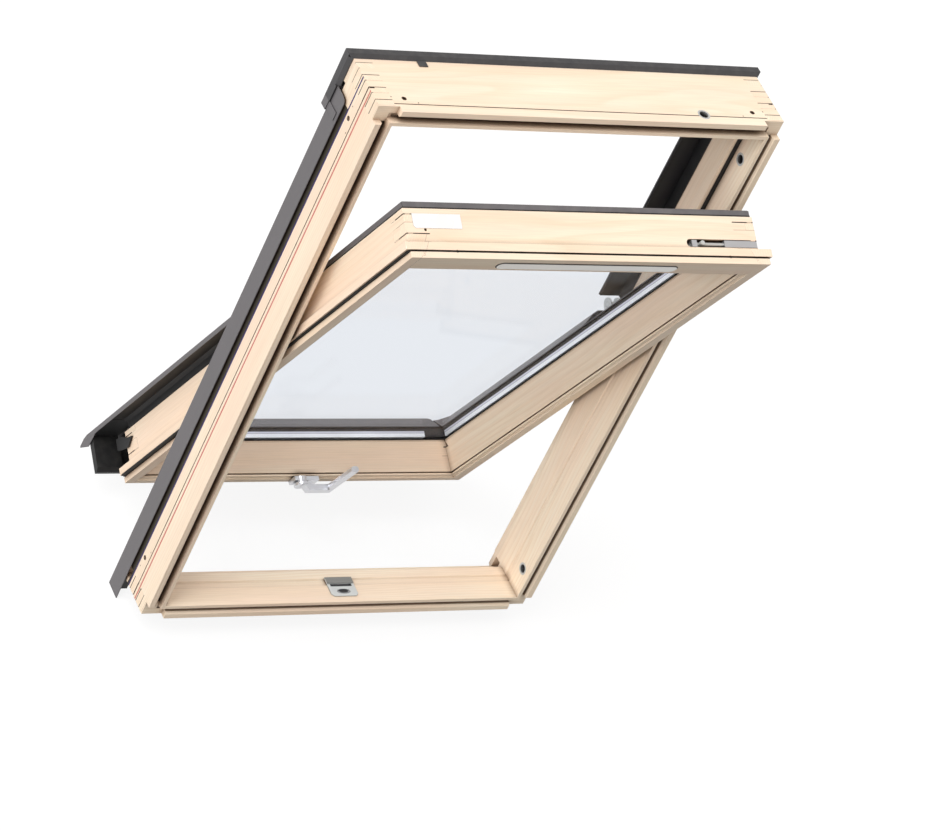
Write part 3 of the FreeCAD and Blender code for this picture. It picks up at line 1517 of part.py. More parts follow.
doc.recompute()
failed = [thing.Name for thing in doc.Objects if "Invalid" in thing.State or "Error" in thing.State]
if failed:
    raise RuntimeError("failed objects: " + ", ".join(failed))
os.makedirs("parts", exist_ok=True)
for node in nodes:
    shape = node.Shape
    if shape.isNull() or not shape.isValid():
        raise RuntimeError("bad shape: " + node.Label)
    shape.exportStep("parts/%s.step" % node.Label)
    box = shape.BoundBox
    print("%-22s %d %9.0f  x %.1f %.1f  y %.1f %.1f  z %.1f %.1f" % (
        node.Label, len(shape.Solids), shape.Volume,
        box.XMin, box.XMax, box.YMin, box.YMax, box.ZMin, box.ZMax))
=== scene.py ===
"""Centre pivot roof window in pine, seen from the room side with its sash standing open."""

import math

import bmesh
import bpy
from mathutils import Matrix, Vector


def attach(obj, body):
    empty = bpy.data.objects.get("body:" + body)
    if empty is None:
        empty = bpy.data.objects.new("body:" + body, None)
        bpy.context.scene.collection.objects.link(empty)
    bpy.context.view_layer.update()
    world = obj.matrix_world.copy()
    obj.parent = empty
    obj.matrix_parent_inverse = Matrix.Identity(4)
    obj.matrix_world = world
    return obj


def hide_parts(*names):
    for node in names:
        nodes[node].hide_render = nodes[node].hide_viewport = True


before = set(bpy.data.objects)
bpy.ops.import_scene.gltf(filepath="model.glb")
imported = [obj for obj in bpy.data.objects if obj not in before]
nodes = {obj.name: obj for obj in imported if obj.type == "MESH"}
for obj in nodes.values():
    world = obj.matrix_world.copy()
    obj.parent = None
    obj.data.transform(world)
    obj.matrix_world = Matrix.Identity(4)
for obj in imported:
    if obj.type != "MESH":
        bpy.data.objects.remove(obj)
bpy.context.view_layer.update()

SASH_TILT = math.radians(25.0)


# Colours are written as they look on a screen and turned into the linear values of the shader.
def tint(red, green, blue):
    levels = []
    for channel in (red, green, blue):
        level = channel / 255.0
        levels.append(level / 12.92 if level <= 0.04045 else ((level + 0.055) / 1.055) ** 2.4)
    return (*levels, 1.0)


# Small helpers for node trees.
def add_node(tree, kind, **settings):
    node = tree.nodes.new(kind)
    for name, value in settings.items():
        setattr(node, name, value)
    return node


def feed(tree, socket, value):
    if isinstance(value, bpy.types.NodeSocket):
        tree.links.new(value, socket)
    else:
        socket.default_value = value


def math_node(tree, operation, first, second=0.0, clamp=False):
    node = add_node(tree, "ShaderNodeMath", operation=operation, use_clamp=clamp)
    feed(tree, node.inputs[0], first)
    feed(tree, node.inputs[1], second)
    return node.outputs[0]


def vector_node(tree, operation, first, second):
    node = add_node(tree, "ShaderNodeVectorMath", operation=operation)
    feed(tree, node.inputs[0], first)
    feed(tree, node.inputs[1], second)
    return node.outputs["Value"] if operation == "LENGTH" else node.outputs["Vector"]


def noise_node(tree, vector, scale, detail=3.0, roughness=0.5):
    node = add_node(tree, "ShaderNodeTexNoise")
    feed(tree, node.inputs["Vector"], vector)
    node.inputs["Scale"].default_value = scale
    node.inputs["Detail"].default_value = detail
    node.inputs["Roughness"].default_value = roughness
    return node


def ramp_node(tree, value, low, high, start=0.0, end=1.0):
    node = add_node(tree, "ShaderNodeMapRange", clamp=True)
    feed(tree, node.inputs["Value"], value)
    node.inputs["From Min"].default_value = low
    node.inputs["From Max"].default_value = high
    node.inputs["To Min"].default_value = start
    node.inputs["To Max"].default_value = end
    return node.outputs["Result"]


def blend_colours(tree, factor, first, second, blend="MIX"):
    node = add_node(tree, "ShaderNodeMix", data_type="RGBA", blend_type=blend)
    feed(tree, node.inputs[0], factor)
    feed(tree, node.inputs[6], first)
    feed(tree, node.inputs[7], second)
    return node.outputs[2]


def new_group(name, inputs, outputs):
    tree = bpy.data.node_groups.new(name, "ShaderNodeTree")
    for label, kind in inputs:
        tree.interface.new_socket(label, in_out="INPUT", socket_type=kind)
    for label, kind in outputs:
        tree.interface.new_socket(label, in_out="OUTPUT", socket_type=kind)
    return tree, add_node(tree, "NodeGroupInput"), add_node(tree, "NodeGroupOutput")


# Solid pine figure with its grain along Z: growth rings round a pith that lies outside the board,
# with paler and darker streaks, broad patches and short fibres.
PITH_OFFSET = (0.13, -0.21, 0.0)
RINGS_PER_METRE = 240.0
RING_RISE = (0.35, 0.86)
RING_FALL = (0.9, 1.0)
RING_WANDER = (0.05, 0.05, 0.0)
WANDER_SCALE = 7.0
STREAK_SCALE = 42.0
PATCH_SCALE = 13.0
FIBRE_SCALE = 620.0
ALONG_WANDER = (1.0, 1.0, 0.16)
ALONG_STREAK = (1.0, 1.0, 0.03)
ALONG_PATCH = (1.0, 1.0, 0.18)
ALONG_FIBRE = (1.0, 1.0, 0.025)


def drawn_noise(tree, place, stretch, scale, detail):
    drawn = vector_node(tree, "MULTIPLY", place, stretch)
    return noise_node(tree, drawn, scale, detail=detail)


def make_pine_figure():
    tree, source, result = new_group(
        "pine_figure",
        [("Vector", "NodeSocketVector")],
        [("Ring", "NodeSocketFloat"), ("Streak", "NodeSocketFloat"), ("Fibre", "NodeSocketFloat"),
         ("Patch", "NodeSocketFloat")])
    place = source.outputs["Vector"]
    wander = drawn_noise(tree, place, ALONG_WANDER, WANDER_SCALE, 2.0).outputs["Color"]
    wander = vector_node(tree, "SUBTRACT", wander, (0.5, 0.5, 0.5))
    wander = vector_node(tree, "MULTIPLY", wander, RING_WANDER)
    bent = vector_node(tree, "ADD", place, wander)
    across = vector_node(tree, "ADD", bent, PITH_OFFSET)
    across = vector_node(tree, "MULTIPLY", across, (1.0, 1.0, 0.0))
    distance = vector_node(tree, "LENGTH", across, (0.0, 0.0, 0.0))
    turn = math_node(tree, "FRACT", math_node(tree, "MULTIPLY", distance, RINGS_PER_METRE))
    rise = ramp_node(tree, turn, *RING_RISE)
    fall = ramp_node(tree, turn, *RING_FALL, 1.0, 0.0)
    feed(tree, result.inputs["Ring"], math_node(tree, "MULTIPLY", rise, fall))
    figures = (
        ("Streak", ALONG_STREAK, STREAK_SCALE, 3.0),
        ("Patch", ALONG_PATCH, PATCH_SCALE, 2.0),
        ("Fibre", ALONG_FIBRE, FIBRE_SCALE, 2.0),
    )
    for label, stretch, scale, detail in figures:
        feed(tree, result.inputs[label], drawn_noise(tree, place, stretch, scale, detail).outputs["Fac"])
    return tree


# Fine skin of painted sheet or moulded plastic: slow cloudiness, a small grain, and dust that has
# settled in flecks on what faces up.
CLOUD_SCALE = 9.0
GRAIN_SCALE = 900.0
FLECK_SCALE = 70.0
FLECK_RANGE = (0.42, 0.7)
UPWARD_RANGE = (0.35, 1.0)


def make_skin():
    tree, source, result = new_group(
        "fine_skin",
        [("Vector", "NodeSocketVector"), ("Grain Scale", "NodeSocketFloat")],
        [("Cloud", "NodeSocketFloat"), ("Grain", "NodeSocketFloat"), ("Dust", "NodeSocketFloat")])
    place = source.outputs["Vector"]
    feed(tree, result.inputs["Cloud"], noise_node(tree, place, CLOUD_SCALE, detail=4.0).outputs["Fac"])
    grain = noise_node(tree, place, GRAIN_SCALE, detail=2.0)
    feed(tree, grain.inputs["Scale"], source.outputs["Grain Scale"])
    feed(tree, result.inputs["Grain"], grain.outputs["Fac"])
    facing = add_node(tree, "ShaderNodeNewGeometry").outputs["Normal"]
    upward = add_node(tree, "ShaderNodeSeparateXYZ")
    feed(tree, upward.inputs["Vector"], facing)
    settled = ramp_node(tree, upward.outputs["Z"], *UPWARD_RANGE)
    speckle = noise_node(tree, place, FLECK_SCALE, detail=5.0).outputs["Fac"]
    flecks = ramp_node(tree, speckle, *FLECK_RANGE)
    feed(tree, result.inputs["Dust"], math_node(tree, "MULTIPLY", settled, flecks))
    return tree


# Painted shade: grooves and inner corners are painted darker than open faces from an occlusion reading, and
# narrow slits darkest.
CREVICE_SAMPLES = 10
OPEN_RANGE = (0.3, 0.95)
SLIT_RANGE = (0.2, 0.42)


def make_crevice():
    tree, source, result = new_group(
        "crevice_shade",
        [("Reach", "NodeSocketFloat")],
        [("Open", "NodeSocketFloat"), ("Slit", "NodeSocketFloat")])
    hidden = add_node(tree, "ShaderNodeAmbientOcclusion", samples=CREVICE_SAMPLES, only_local=False)
    feed(tree, hidden.inputs["Distance"], source.outputs["Reach"])
    feed(tree, result.inputs["Open"], ramp_node(tree, hidden.outputs["AO"], *OPEN_RANGE))
    feed(tree, result.inputs["Slit"], ramp_node(tree, hidden.outputs["AO"], *SLIT_RANGE, 1.0, 0.0))
    return tree


CREVICE = make_crevice()
PINE_FIGURE = make_pine_figure()
SKIN = make_skin()


def new_material(name):
    material = bpy.data.materials.new(name)
    material.use_nodes = True
    tree = material.node_tree
    return material, tree, tree.nodes["Principled BSDF"]


def object_place(tree, rotation=(0.0, 0.0, 0.0)):
    place = add_node(tree, "ShaderNodeTexCoord").outputs["Object"]
    mapping = add_node(tree, "ShaderNodeMapping")
    feed(tree, mapping.inputs["Vector"], place)
    mapping.inputs["Rotation"].default_value = rotation
    return mapping.outputs["Vector"]


def bump(tree, shader, height, strength, distance):
    node = add_node(tree, "ShaderNodeBump")
    node.inputs["Strength"].default_value = strength
    node.inputs["Distance"].default_value = distance
    feed(tree, node.inputs["Height"], height)
    tree.links.new(node.outputs["Normal"], shader.inputs["Normal"])


# Painted shade: the colour is darkened in crevices and turned near black in narrow slits.
def shade_crevices(tree, colour, reach, shaded_ink, slit_shade_ink):
    crevice = add_node(tree, "ShaderNodeGroup", node_tree=CREVICE)
    crevice.inputs["Reach"].default_value = reach
    shaded = blend_colours(tree, 1.0, colour, shaded_ink, "MULTIPLY")
    colour = blend_colours(tree, crevice.outputs["Open"], shaded, colour)
    return blend_colours(tree, crevice.outputs["Slit"], colour, slit_shade_ink)


def between(tree, value, low, high):
    above = math_node(tree, "GREATER_THAN", value, low)
    below = math_node(tree, "LESS_THAN", value, high)
    return math_node(tree, "MULTIPLY", above, below)


# Grain directions, and where depth and height in the sash start once its tilt is turned back.
ALONG_X = (0.0, math.radians(90.0), 0.0)
ALONG_Z = (0.0, 0.0, 0.0)
ALONG_SASH = (-SASH_TILT, 0.0, 0.0)
SASH_DEPTH_START = 0.22975
SASH_HEIGHT_START = 0.54691
PALE_PINE = tint(254, 238, 215)
ROSY_PINE = tint(252, 228, 205)
LATE_PINE = tint(232, 197, 160)
DEEP_PINE = tint(246, 219, 189)
SHADED_PINE = tint(150, 131, 116)
SLIT_SHADE_PINE = tint(58, 45, 36)
PATCH_RANGE = (0.38, 0.64)
RING_DEPTHS = (0.3, 0.7, 0.3, 0.1)
STREAK_DEPTHS = (0.42, 0.78, 0.0, 0.55)
FIBRE_DEPTHS = (0.3, 0.7, 0.95, 1.03)
LACQUER_ROUGHNESS = (0.3, 0.7, 0.42, 0.55)
LACQUER_GLOSS = 0.18
PINE_REACH = 0.016
PINE_RELIEF = (0.12, 0.0003)


# Lacquered pine with its grain turned along the member, the marks of that member on it, and painted shade in
# its grooves and corners.
def pine_material(name, rotation, marks):
    material, tree, shader = new_material(name)
    figure = add_node(tree, "ShaderNodeGroup", node_tree=PINE_FIGURE)
    feed(tree, figure.inputs["Vector"], object_place(tree, rotation))
    patch = ramp_node(tree, figure.outputs["Patch"], *PATCH_RANGE)
    colour = blend_colours(tree, patch, PALE_PINE, ROSY_PINE)
    ring_depth = ramp_node(tree, figure.outputs["Patch"], *RING_DEPTHS)
    ring = math_node(tree, "MULTIPLY", figure.outputs["Ring"], ring_depth)
    colour = blend_colours(tree, ring, colour, LATE_PINE)
    streak = ramp_node(tree, figure.outputs["Streak"], *STREAK_DEPTHS)
    colour = blend_colours(tree, streak, colour, DEEP_PINE)
    fibre = ramp_node(tree, figure.outputs["Fibre"], *FIBRE_DEPTHS)
    colour = blend_colours(tree, 1.0, colour, fibre, "MULTIPLY")
    colour = marks(tree, colour)
    colour = shade_crevices(tree, colour, PINE_REACH, SHADED_PINE, SLIT_SHADE_PINE)
    feed(tree, shader.inputs["Base Color"], colour)
    feed(tree, shader.inputs["Roughness"], ramp_node(tree, figure.outputs["Streak"], *LACQUER_ROUGHNESS))
    shader.inputs["Specular IOR Level"].default_value = LACQUER_GLOSS
    relief = math_node(tree, "MULTIPLY", figure.outputs["Ring"], 0.5)
    bump(tree, shader, math_node(tree, "ADD", relief, figure.outputs["Fibre"]), *PINE_RELIEF)
    return material


# Marks and painted shade on the wood, in metres: depth, height and side in the row frame, or in the sash for
# its own.
RED_LINE = (-0.0028, 0.0006)
BLUE_LINE = (0.0305, 0.0337)
DARK_STRIP = (0.0337, 0.0620)
DARK_STRIP_TOP = 1.108
SAW_GROOVE = (0.0050, 0.0086)
OUTER_SIDE = 0.3895
GROOVE_FLOOR = 0.3800
JAMB_SIDE = 0.3870
STILE_SIDE = 0.3340
HEAD_TOP = 1.175
JAMB_HOLES = ((0.022, 1.0985), (0.022, 0.0795))
HEAD_HOLE = (0.3355, -0.017)
RECESS_SHADE_INK = tint(74, 56, 44)
SEAM_INK = tint(176, 140, 112)
FRAME_CORNER = 0.3586
FRAME_FINGER_ENDS = (0.0311, 1.1469)
FRAME_OPEN_LINES = (-0.0225, 0.0071, 0.0367)
FRAME_SEAMS = (-0.0350, -0.0054, 0.0242)
HEAD_LONG_LINE = -0.0313
JAMB_OPEN_LINES = (-0.0065, 0.0231)
JAMB_SEAMS = (-0.0223, 0.0073)
SASH_CORNER = 0.2945
SASH_FINGER_ENDS = (-0.5550, 0.4370)
SASH_OPEN_LINES = (0.0468, 0.0799)
SASH_SEAMS = (0.0334, 0.0665)
OPEN_LINE = 0.0019
SEAM = 0.0007
HOLE_SHADE_RADIUS = 0.0044


# One inside the circle of a radius round a middle, and nought outside it.
def rounds(tree, first, second, middle, radius):
    across = math_node(tree, "SUBTRACT", first, middle[0])
    along = math_node(tree, "SUBTRACT", second, middle[1])
    across = math_node(tree, "MULTIPLY", across, across)
    along = math_node(tree, "MULTIPLY", along, along)
    return math_node(tree, "LESS_THAN", math_node(tree, "ADD", across, along), radius * radius)


# Joint lines show beside the fingers: open ones as dark lines of painted shade in their gaps, and tight ones
# as fine seams.
def draw_lines(tree, colour, depth, place, lines, width, ink):
    for start in lines:
        line = between(tree, depth, start, start + width)
        colour = blend_colours(tree, math_node(tree, "MULTIPLY", line, place), colour, ink)
    return colour


# Distance from the middle to either side, then depth and height.
def split_place(tree, rotation=(0.0, 0.0, 0.0)):
    split = add_node(tree, "ShaderNodeSeparateXYZ")
    feed(tree, split.inputs["Vector"], object_place(tree, rotation))
    side = math_node(tree, "ABSOLUTE", split.outputs["X"])
    return side, split.outputs["Y"], split.outputs["Z"]


def beyond(tree, value, low, high):
    below = math_node(tree, "LESS_THAN", value, low)
    above = math_node(tree, "GREATER_THAN", value, high)
    return math_node(tree, "MAXIMUM", below, above)


# The outer side of each jamb carries a red installation line, a blue-violet one, and a dark strip
# from there to under the side band. The inside of the saw groove between the lines is painted dark as shade.
def mark_jamb(tree, colour):
    side, depth, height = split_place(tree)
    outside = math_node(tree, "GREATER_THAN", side, OUTER_SIDE)
    strip_place = math_node(tree, "MULTIPLY", outside, math_node(tree, "LESS_THAN", height, DARK_STRIP_TOP))
    # Painted shade: the inside of the saw groove.
    groove_shade = between(tree, side, GROOVE_FLOOR, OUTER_SIDE)
    marks = (
        (RED_LINE, outside, tint(206, 122, 112)),
        (BLUE_LINE, outside, tint(50, 40, 98)),
        (DARK_STRIP, strip_place, tint(66, 62, 54)),
        (SAW_GROOVE, groove_shade, tint(62, 50, 40)),
    )
    for (low, high), place, ink in marks:
        line = between(tree, depth, low, high)
        colour = blend_colours(tree, math_node(tree, "MULTIPLY", line, place), colour, ink)
    corner = beyond(tree, height, *FRAME_FINGER_ENDS)
    outer = math_node(tree, "GREATER_THAN", side, JAMB_SIDE)
    corner = math_node(tree, "MULTIPLY", corner, outer)
    colour = draw_lines(tree, colour, depth, corner, JAMB_OPEN_LINES, OPEN_LINE, RECESS_SHADE_INK)
    colour = draw_lines(tree, colour, depth, corner, JAMB_SEAMS, SEAM, SEAM_INK)
    # Painted shade: a dark disc over each drilled hole.
    for middle in JAMB_HOLES:
        hole_shade = math_node(tree, "MULTIPLY", outside, rounds(tree, depth, height, middle, HOLE_SHADE_RADIUS))
        colour = blend_colours(tree, hole_shade, colour, RECESS_SHADE_INK)
    return colour


def mark_frame_cross(tree, colour):
    side, depth, height = split_place(tree)
    corner = math_node(tree, "GREATER_THAN", side, FRAME_CORNER)
    colour = draw_lines(tree, colour, depth, corner, FRAME_OPEN_LINES, OPEN_LINE, RECESS_SHADE_INK)
    colour = draw_lines(tree, colour, depth, corner, FRAME_SEAMS, SEAM, SEAM_INK)
    # Painted shade on the head's top: a dark disc over the drilled hole and a long dark line.
    upper = math_node(tree, "GREATER_THAN", height, HEAD_TOP)
    hole_shade = math_node(tree, "MULTIPLY", upper, rounds(tree, side, depth, HEAD_HOLE, HOLE_SHADE_RADIUS))
    colour = draw_lines(tree, colour, depth, upper, (HEAD_LONG_LINE,), OPEN_LINE, RECESS_SHADE_INK)
    return blend_colours(tree, hole_shade, colour, RECESS_SHADE_INK)


def mark_sash_corner(tree, colour, cross):
    side, depth, height = split_place(tree, ALONG_SASH)
    depth = math_node(tree, "SUBTRACT", depth, SASH_DEPTH_START)
    height = math_node(tree, "SUBTRACT", height, SASH_HEIGHT_START)
    if cross:
        corner = math_node(tree, "GREATER_THAN", side, SASH_CORNER)
    else:
        corner = math_node(tree, "MULTIPLY", beyond(tree, height, *SASH_FINGER_ENDS),
                           math_node(tree, "GREATER_THAN", side, STILE_SIDE))
    colour = draw_lines(tree, colour, depth, corner, SASH_OPEN_LINES, OPEN_LINE, RECESS_SHADE_INK)
    return draw_lines(tree, colour, depth, corner, SASH_SEAMS, SEAM, SEAM_INK)


def mark_sash_cross(tree, colour):
    return mark_sash_corner(tree, colour, True)


def mark_stile(tree, colour):
    return mark_sash_corner(tree, colour, False)


SHADED_SKIN = tint(150, 150, 152)
SLIT_SHADE_SKIN = tint(26, 25, 26)
DUST_COLOUR = tint(190, 186, 178)
CLOUD_RANGE = (0.3, 0.7)
CLOUD_LEVELS = (0.93, 1.07)
SMOOTHER = 0.05
ROUGHER = 0.07
SKIN_REACH = 0.006
GRAIN_HEIGHT = 0.0002


# Painted sheet, plastic and rubber share one build: a base colour that clouds, a grain, dust, and painted
# shade in crevices.
def skin_material(name, colour, roughness, grain=GRAIN_SCALE, relief=0.1, dust=0.0, metallic=0.0, coat=0.0,
                  reach=SKIN_REACH, marks=None):
    material, tree, shader = new_material(name)
    skin = add_node(tree, "ShaderNodeGroup", node_tree=SKIN)
    feed(tree, skin.inputs["Vector"], object_place(tree))
    skin.inputs["Grain Scale"].default_value = grain
    cloud = ramp_node(tree, skin.outputs["Cloud"], *CLOUD_RANGE, *CLOUD_LEVELS)
    base = blend_colours(tree, 1.0, colour, cloud, "MULTIPLY")
    settled = math_node(tree, "MULTIPLY", skin.outputs["Dust"], dust)
    base = blend_colours(tree, settled, base, DUST_COLOUR)
    if marks:
        base = marks(tree, base)
    base = shade_crevices(tree, base, reach, SHADED_SKIN, SLIT_SHADE_SKIN)
    feed(tree, shader.inputs["Base Color"], base)
    worn = ramp_node(tree, skin.outputs["Cloud"], *CLOUD_RANGE, roughness - SMOOTHER, roughness + ROUGHER)
    feed(tree, shader.inputs["Roughness"], worn)
    shader.inputs["Metallic"].default_value = metallic
    shader.inputs["Coat Weight"].default_value = coat
    bump(tree, shader, skin.outputs["Grain"], relief, GRAIN_HEIGHT)
    return material


# The panes are clear, lie in slow ripples, and let most of the light through to what is behind.
RIPPLE_SCALE = 2.2
RIPPLE_RELIEF = (0.05, 0.002)
LIGHT_PASSED = 0.9


def glass_material():
    material, tree, shader = new_material("clear pane")
    shader.inputs["Base Color"].default_value = tint(249, 251, 254)
    shader.inputs["Transmission Weight"].default_value = 1.0
    shader.inputs["Metallic"].default_value = 0.0
    shader.inputs["IOR"].default_value = 1.05
    shader.inputs["Roughness"].default_value = 0.0
    ripple = noise_node(tree, object_place(tree), RIPPLE_SCALE, detail=1.0).outputs["Fac"]
    bump(tree, shader, ripple, *RIPPLE_RELIEF)
    shade = add_node(tree, "ShaderNodeLightPath").outputs["Is Shadow Ray"]
    passed = math_node(tree, "MULTIPLY", shade, LIGHT_PASSED)
    feed(tree, shader.inputs["Alpha"], math_node(tree, "SUBTRACT", 1.0, passed))
    return material


# Metal spacer between the panes: bright with a rolled line in it, and black sealant on its far edge
# and at the corner keys.
SPACER_LINE = (0.0730, 0.0737)
SPACER_SEALANT = 0.0772
KEY_SIDE = 0.254
KEY_HEIGHT = -0.536
SPACER_CLOUD = (0.35, 0.65, 0.9, 1.0)
ROLLED = (30.0, 900.0, 30.0)


def spacer_material():
    material, tree, shader = new_material("bright spacer")
    place = object_place(tree, ALONG_SASH)
    split = add_node(tree, "ShaderNodeSeparateXYZ")
    feed(tree, split.inputs["Vector"], place)
    depth = math_node(tree, "SUBTRACT", split.outputs["Y"], SASH_DEPTH_START)
    cloud = ramp_node(tree, noise_node(tree, place, 11.0, detail=2.0).outputs["Fac"], *SPACER_CLOUD)
    near = blend_colours(tree, 1.0, tint(246, 247, 249), cloud, "MULTIPLY")
    far = blend_colours(tree, 1.0, tint(212, 211, 222), cloud, "MULTIPLY")
    colour = blend_colours(tree, math_node(tree, "GREATER_THAN", depth, SPACER_LINE[0]), near, far)
    colour = blend_colours(tree, between(tree, depth, *SPACER_LINE), colour, tint(140, 140, 144))
    sealed = math_node(tree, "GREATER_THAN", depth, SPACER_SEALANT)
    side = math_node(tree, "ABSOLUTE", split.outputs["X"])
    height = math_node(tree, "SUBTRACT", split.outputs["Z"], SASH_HEIGHT_START)
    keyed = math_node(tree, "MULTIPLY", math_node(tree, "GREATER_THAN", side, KEY_SIDE),
                      math_node(tree, "LESS_THAN", height, KEY_HEIGHT))
    black = math_node(tree, "MAXIMUM", sealed, keyed)
    colour = blend_colours(tree, black, colour, tint(36, 35, 37))
    feed(tree, shader.inputs["Base Color"], colour)
    feed(tree, shader.inputs["Metallic"], ramp_node(tree, black, 0.0, 1.0, 0.35, 0.0))
    feed(tree, shader.inputs["Roughness"], ramp_node(tree, black, 0.0, 1.0, 0.32, 0.7))
    rolled = drawn_noise(tree, place, ROLLED, 1.0, 1.0)
    bump(tree, shader, rolled.outputs["Fac"], 0.08, GRAIN_HEIGHT)
    return material


KEEPER_HOOD_LEVEL = 0.0336
KEEPER_MIDDLE = 0.006
KEEPER_SLOT = (-0.0128, -0.0070)
KEEPER_DIP = (-0.0300, -0.0205)
KEEPER_SLOT_HALF = 0.0215
DIP_STRETCH = 0.42
DIP_RADIUS = 0.0058
DIP_CORE_SHIFT = 0.0028
DIP_CORE_RADIUS = 0.0042


# The keeper's hood is a darker grey, with a black slot of painted shade before it and a dip near the room
# painted dark as shade.
def mark_keeper(tree, colour):
    split = add_node(tree, "ShaderNodeSeparateXYZ")
    feed(tree, split.inputs["Vector"], object_place(tree))
    across = math_node(tree, "ABSOLUTE", math_node(tree, "SUBTRACT", split.outputs["X"], KEEPER_MIDDLE))
    depth = split.outputs["Y"]
    raised = math_node(tree, "GREATER_THAN", split.outputs["Z"], KEEPER_HOOD_LEVEL)
    colour = blend_colours(tree, raised, colour, tint(138, 137, 132))
    # Painted shade in the slot and in the dip, with the dip's core darkest.
    slot_shade = math_node(tree, "MULTIPLY", between(tree, depth, *KEEPER_SLOT),
                     math_node(tree, "LESS_THAN", across, KEEPER_SLOT_HALF))
    colour = blend_colours(tree, slot_shade, colour, tint(38, 37, 38))
    stretched = math_node(tree, "MULTIPLY", across, DIP_STRETCH)
    dip_shade = rounds(tree, stretched, depth, (0.0, sum(KEEPER_DIP) / 2.0), DIP_RADIUS)
    colour = blend_colours(tree, dip_shade, colour, tint(150, 150, 150))
    inner = rounds(tree, stretched, depth, (0.0, KEEPER_DIP[1] - DIP_CORE_SHIFT), DIP_CORE_RADIUS)
    return blend_colours(tree, math_node(tree, "MULTIPLY", dip_shade, inner), colour, tint(52, 51, 52))


materials = {
    "cross pine": pine_material("cross pine", ALONG_X, mark_frame_cross),
    "rail pine": pine_material("rail pine", ALONG_X, mark_sash_cross),
    "jamb pine": pine_material("jamb pine", ALONG_Z, mark_jamb),
    "stile pine": pine_material("stile pine", ALONG_SASH, mark_stile),
    "grey sheet": skin_material("grey sheet", tint(104, 101, 103), 0.5, relief=0.05, dust=0.08, coat=0.1),
    "dark sheet": skin_material("dark sheet", tint(66, 65, 67), 0.5, relief=0.05, dust=0.05, coat=0.1),
    "black moulding": skin_material("black moulding", tint(22, 22, 23), 0.55, grain=1400.0, relief=0.15,
                                    dust=0.03),
    "black rubber": skin_material("black rubber", tint(20, 20, 20), 0.7, grain=2200.0, relief=0.2,
                                  dust=0.05),
    "bright spacer": spacer_material(),
    "zinc": skin_material("zinc", tint(214, 216, 214), 0.4, grain=300.0, metallic=0.4),
    "silver metal": skin_material("silver metal", tint(226, 226, 229), 0.3, metallic=0.8),
    "vent grey": skin_material("vent grey", tint(222, 220, 216), 0.38, metallic=0.7),
    # The bushes' painted crevice shade reaches further, to darken their bores.
    "bush grey": skin_material("bush grey", tint(196, 196, 194), 0.45, metallic=0.2, reach=0.026),
    "keeper zinc": skin_material("keeper zinc", tint(214, 216, 214), 0.4, grain=300.0, metallic=0.2,
                                 marks=mark_keeper),
    "white plate": skin_material("white plate", tint(250, 250, 250), 0.3, coat=0.3),
    "clear pane": glass_material(),
}

FINISHES = {
    "cross pine": ("frame_head", "frame_sill"),
    "rail pine": ("sash_head", "sash_bottom_rail"),
    "jamb pine": ("frame_jamb_left", "frame_jamb_right"),
    "stile pine": ("sash_stile_left", "sash_stile_right"),
    "dark sheet": ("head_cladding", "head_strap"),
    "grey sheet": ("side_cladding_left", "side_cladding_right",
                   "upper_cover_left", "upper_cover_right", "corner_tabs", "sash_head_strip",
                   "sash_edge_strips", "side_cover_left", "side_cover_right", "bottom_cover"),
    "black moulding": ("upper_lining_left", "upper_lining_right", "cover_liner_left", "cover_liner_right",
                       "bottom_skirt", "end_block_left", "end_block_right", "end_seals"),
    "black rubber": ("frame_seal", "glazing_seal", "cladding_seal", "sash_seal"),
    "bright spacer": ("spacer_bar",),
    "zinc": ("frame_hinges", "sash_hinges", "bolt_rod"),
    "keeper zinc": ("keeper_plate",),
    "bush grey": ("bolt_bushes",),
    "silver metal": ("handle_base", "handle_lever", "bolt_housing"),
    "vent grey": ("vent_bar",),
    "white plate": ("type_plate",),
    "clear pane": ("inner_pane", "outer_pane"),
}

for finish, names in FINISHES.items():
    for name in names:
        for entry in nodes[name].material_slots:
            entry.link = "OBJECT"
            entry.material = materials[finish]


# Every wooden edge is eased by a small rounding, as on a machined and sanded member.
WELD_REACH = 0.00001
EASED_FROM = math.radians(35.0)
EASED_WIDTH = 0.0006


def ease_edges(item, width, segments=2):
    weld = item.modifiers.new("join corners", "WELD")
    weld.merge_threshold = WELD_REACH
    bevel = item.modifiers.new("eased edges", "BEVEL")
    bevel.width = width
    bevel.segments = segments
    bevel.limit_method = "ANGLE"
    bevel.angle_limit = EASED_FROM
    bevel.harden_normals = True


for finish in ("cross pine", "rail pine", "jamb pine", "stile pine"):
    for name in FINISHES[finish]:
        ease_edges(nodes[name], EASED_WIDTH)


def add_mesh(name, vertices, faces):
    mesh = bpy.data.meshes.new(name)
    mesh.from_pydata(vertices, [], faces)
    item = bpy.data.objects.new(name, mesh)
    bpy.context.scene.collection.objects.link(item)
    return item


# Places in the sash are given in millimetres: to the side, in depth from its room face, and in height
# from the pivot.
PIVOT = Vector((0.0, 0.0844, 0.6428))
PIVOT_DEPTH = 118.4
SASH_TURN = Matrix.Rotation(SASH_TILT, 3, "X")
SASH_HALF = 352.0
SASH_TOP = 479.0
SASH_FOOT = -597.0


def in_sash(side, depth, height):
    return PIVOT + SASH_TURN @ (Vector((side, depth - PIVOT_DEPTH, height)) / 1000.0)


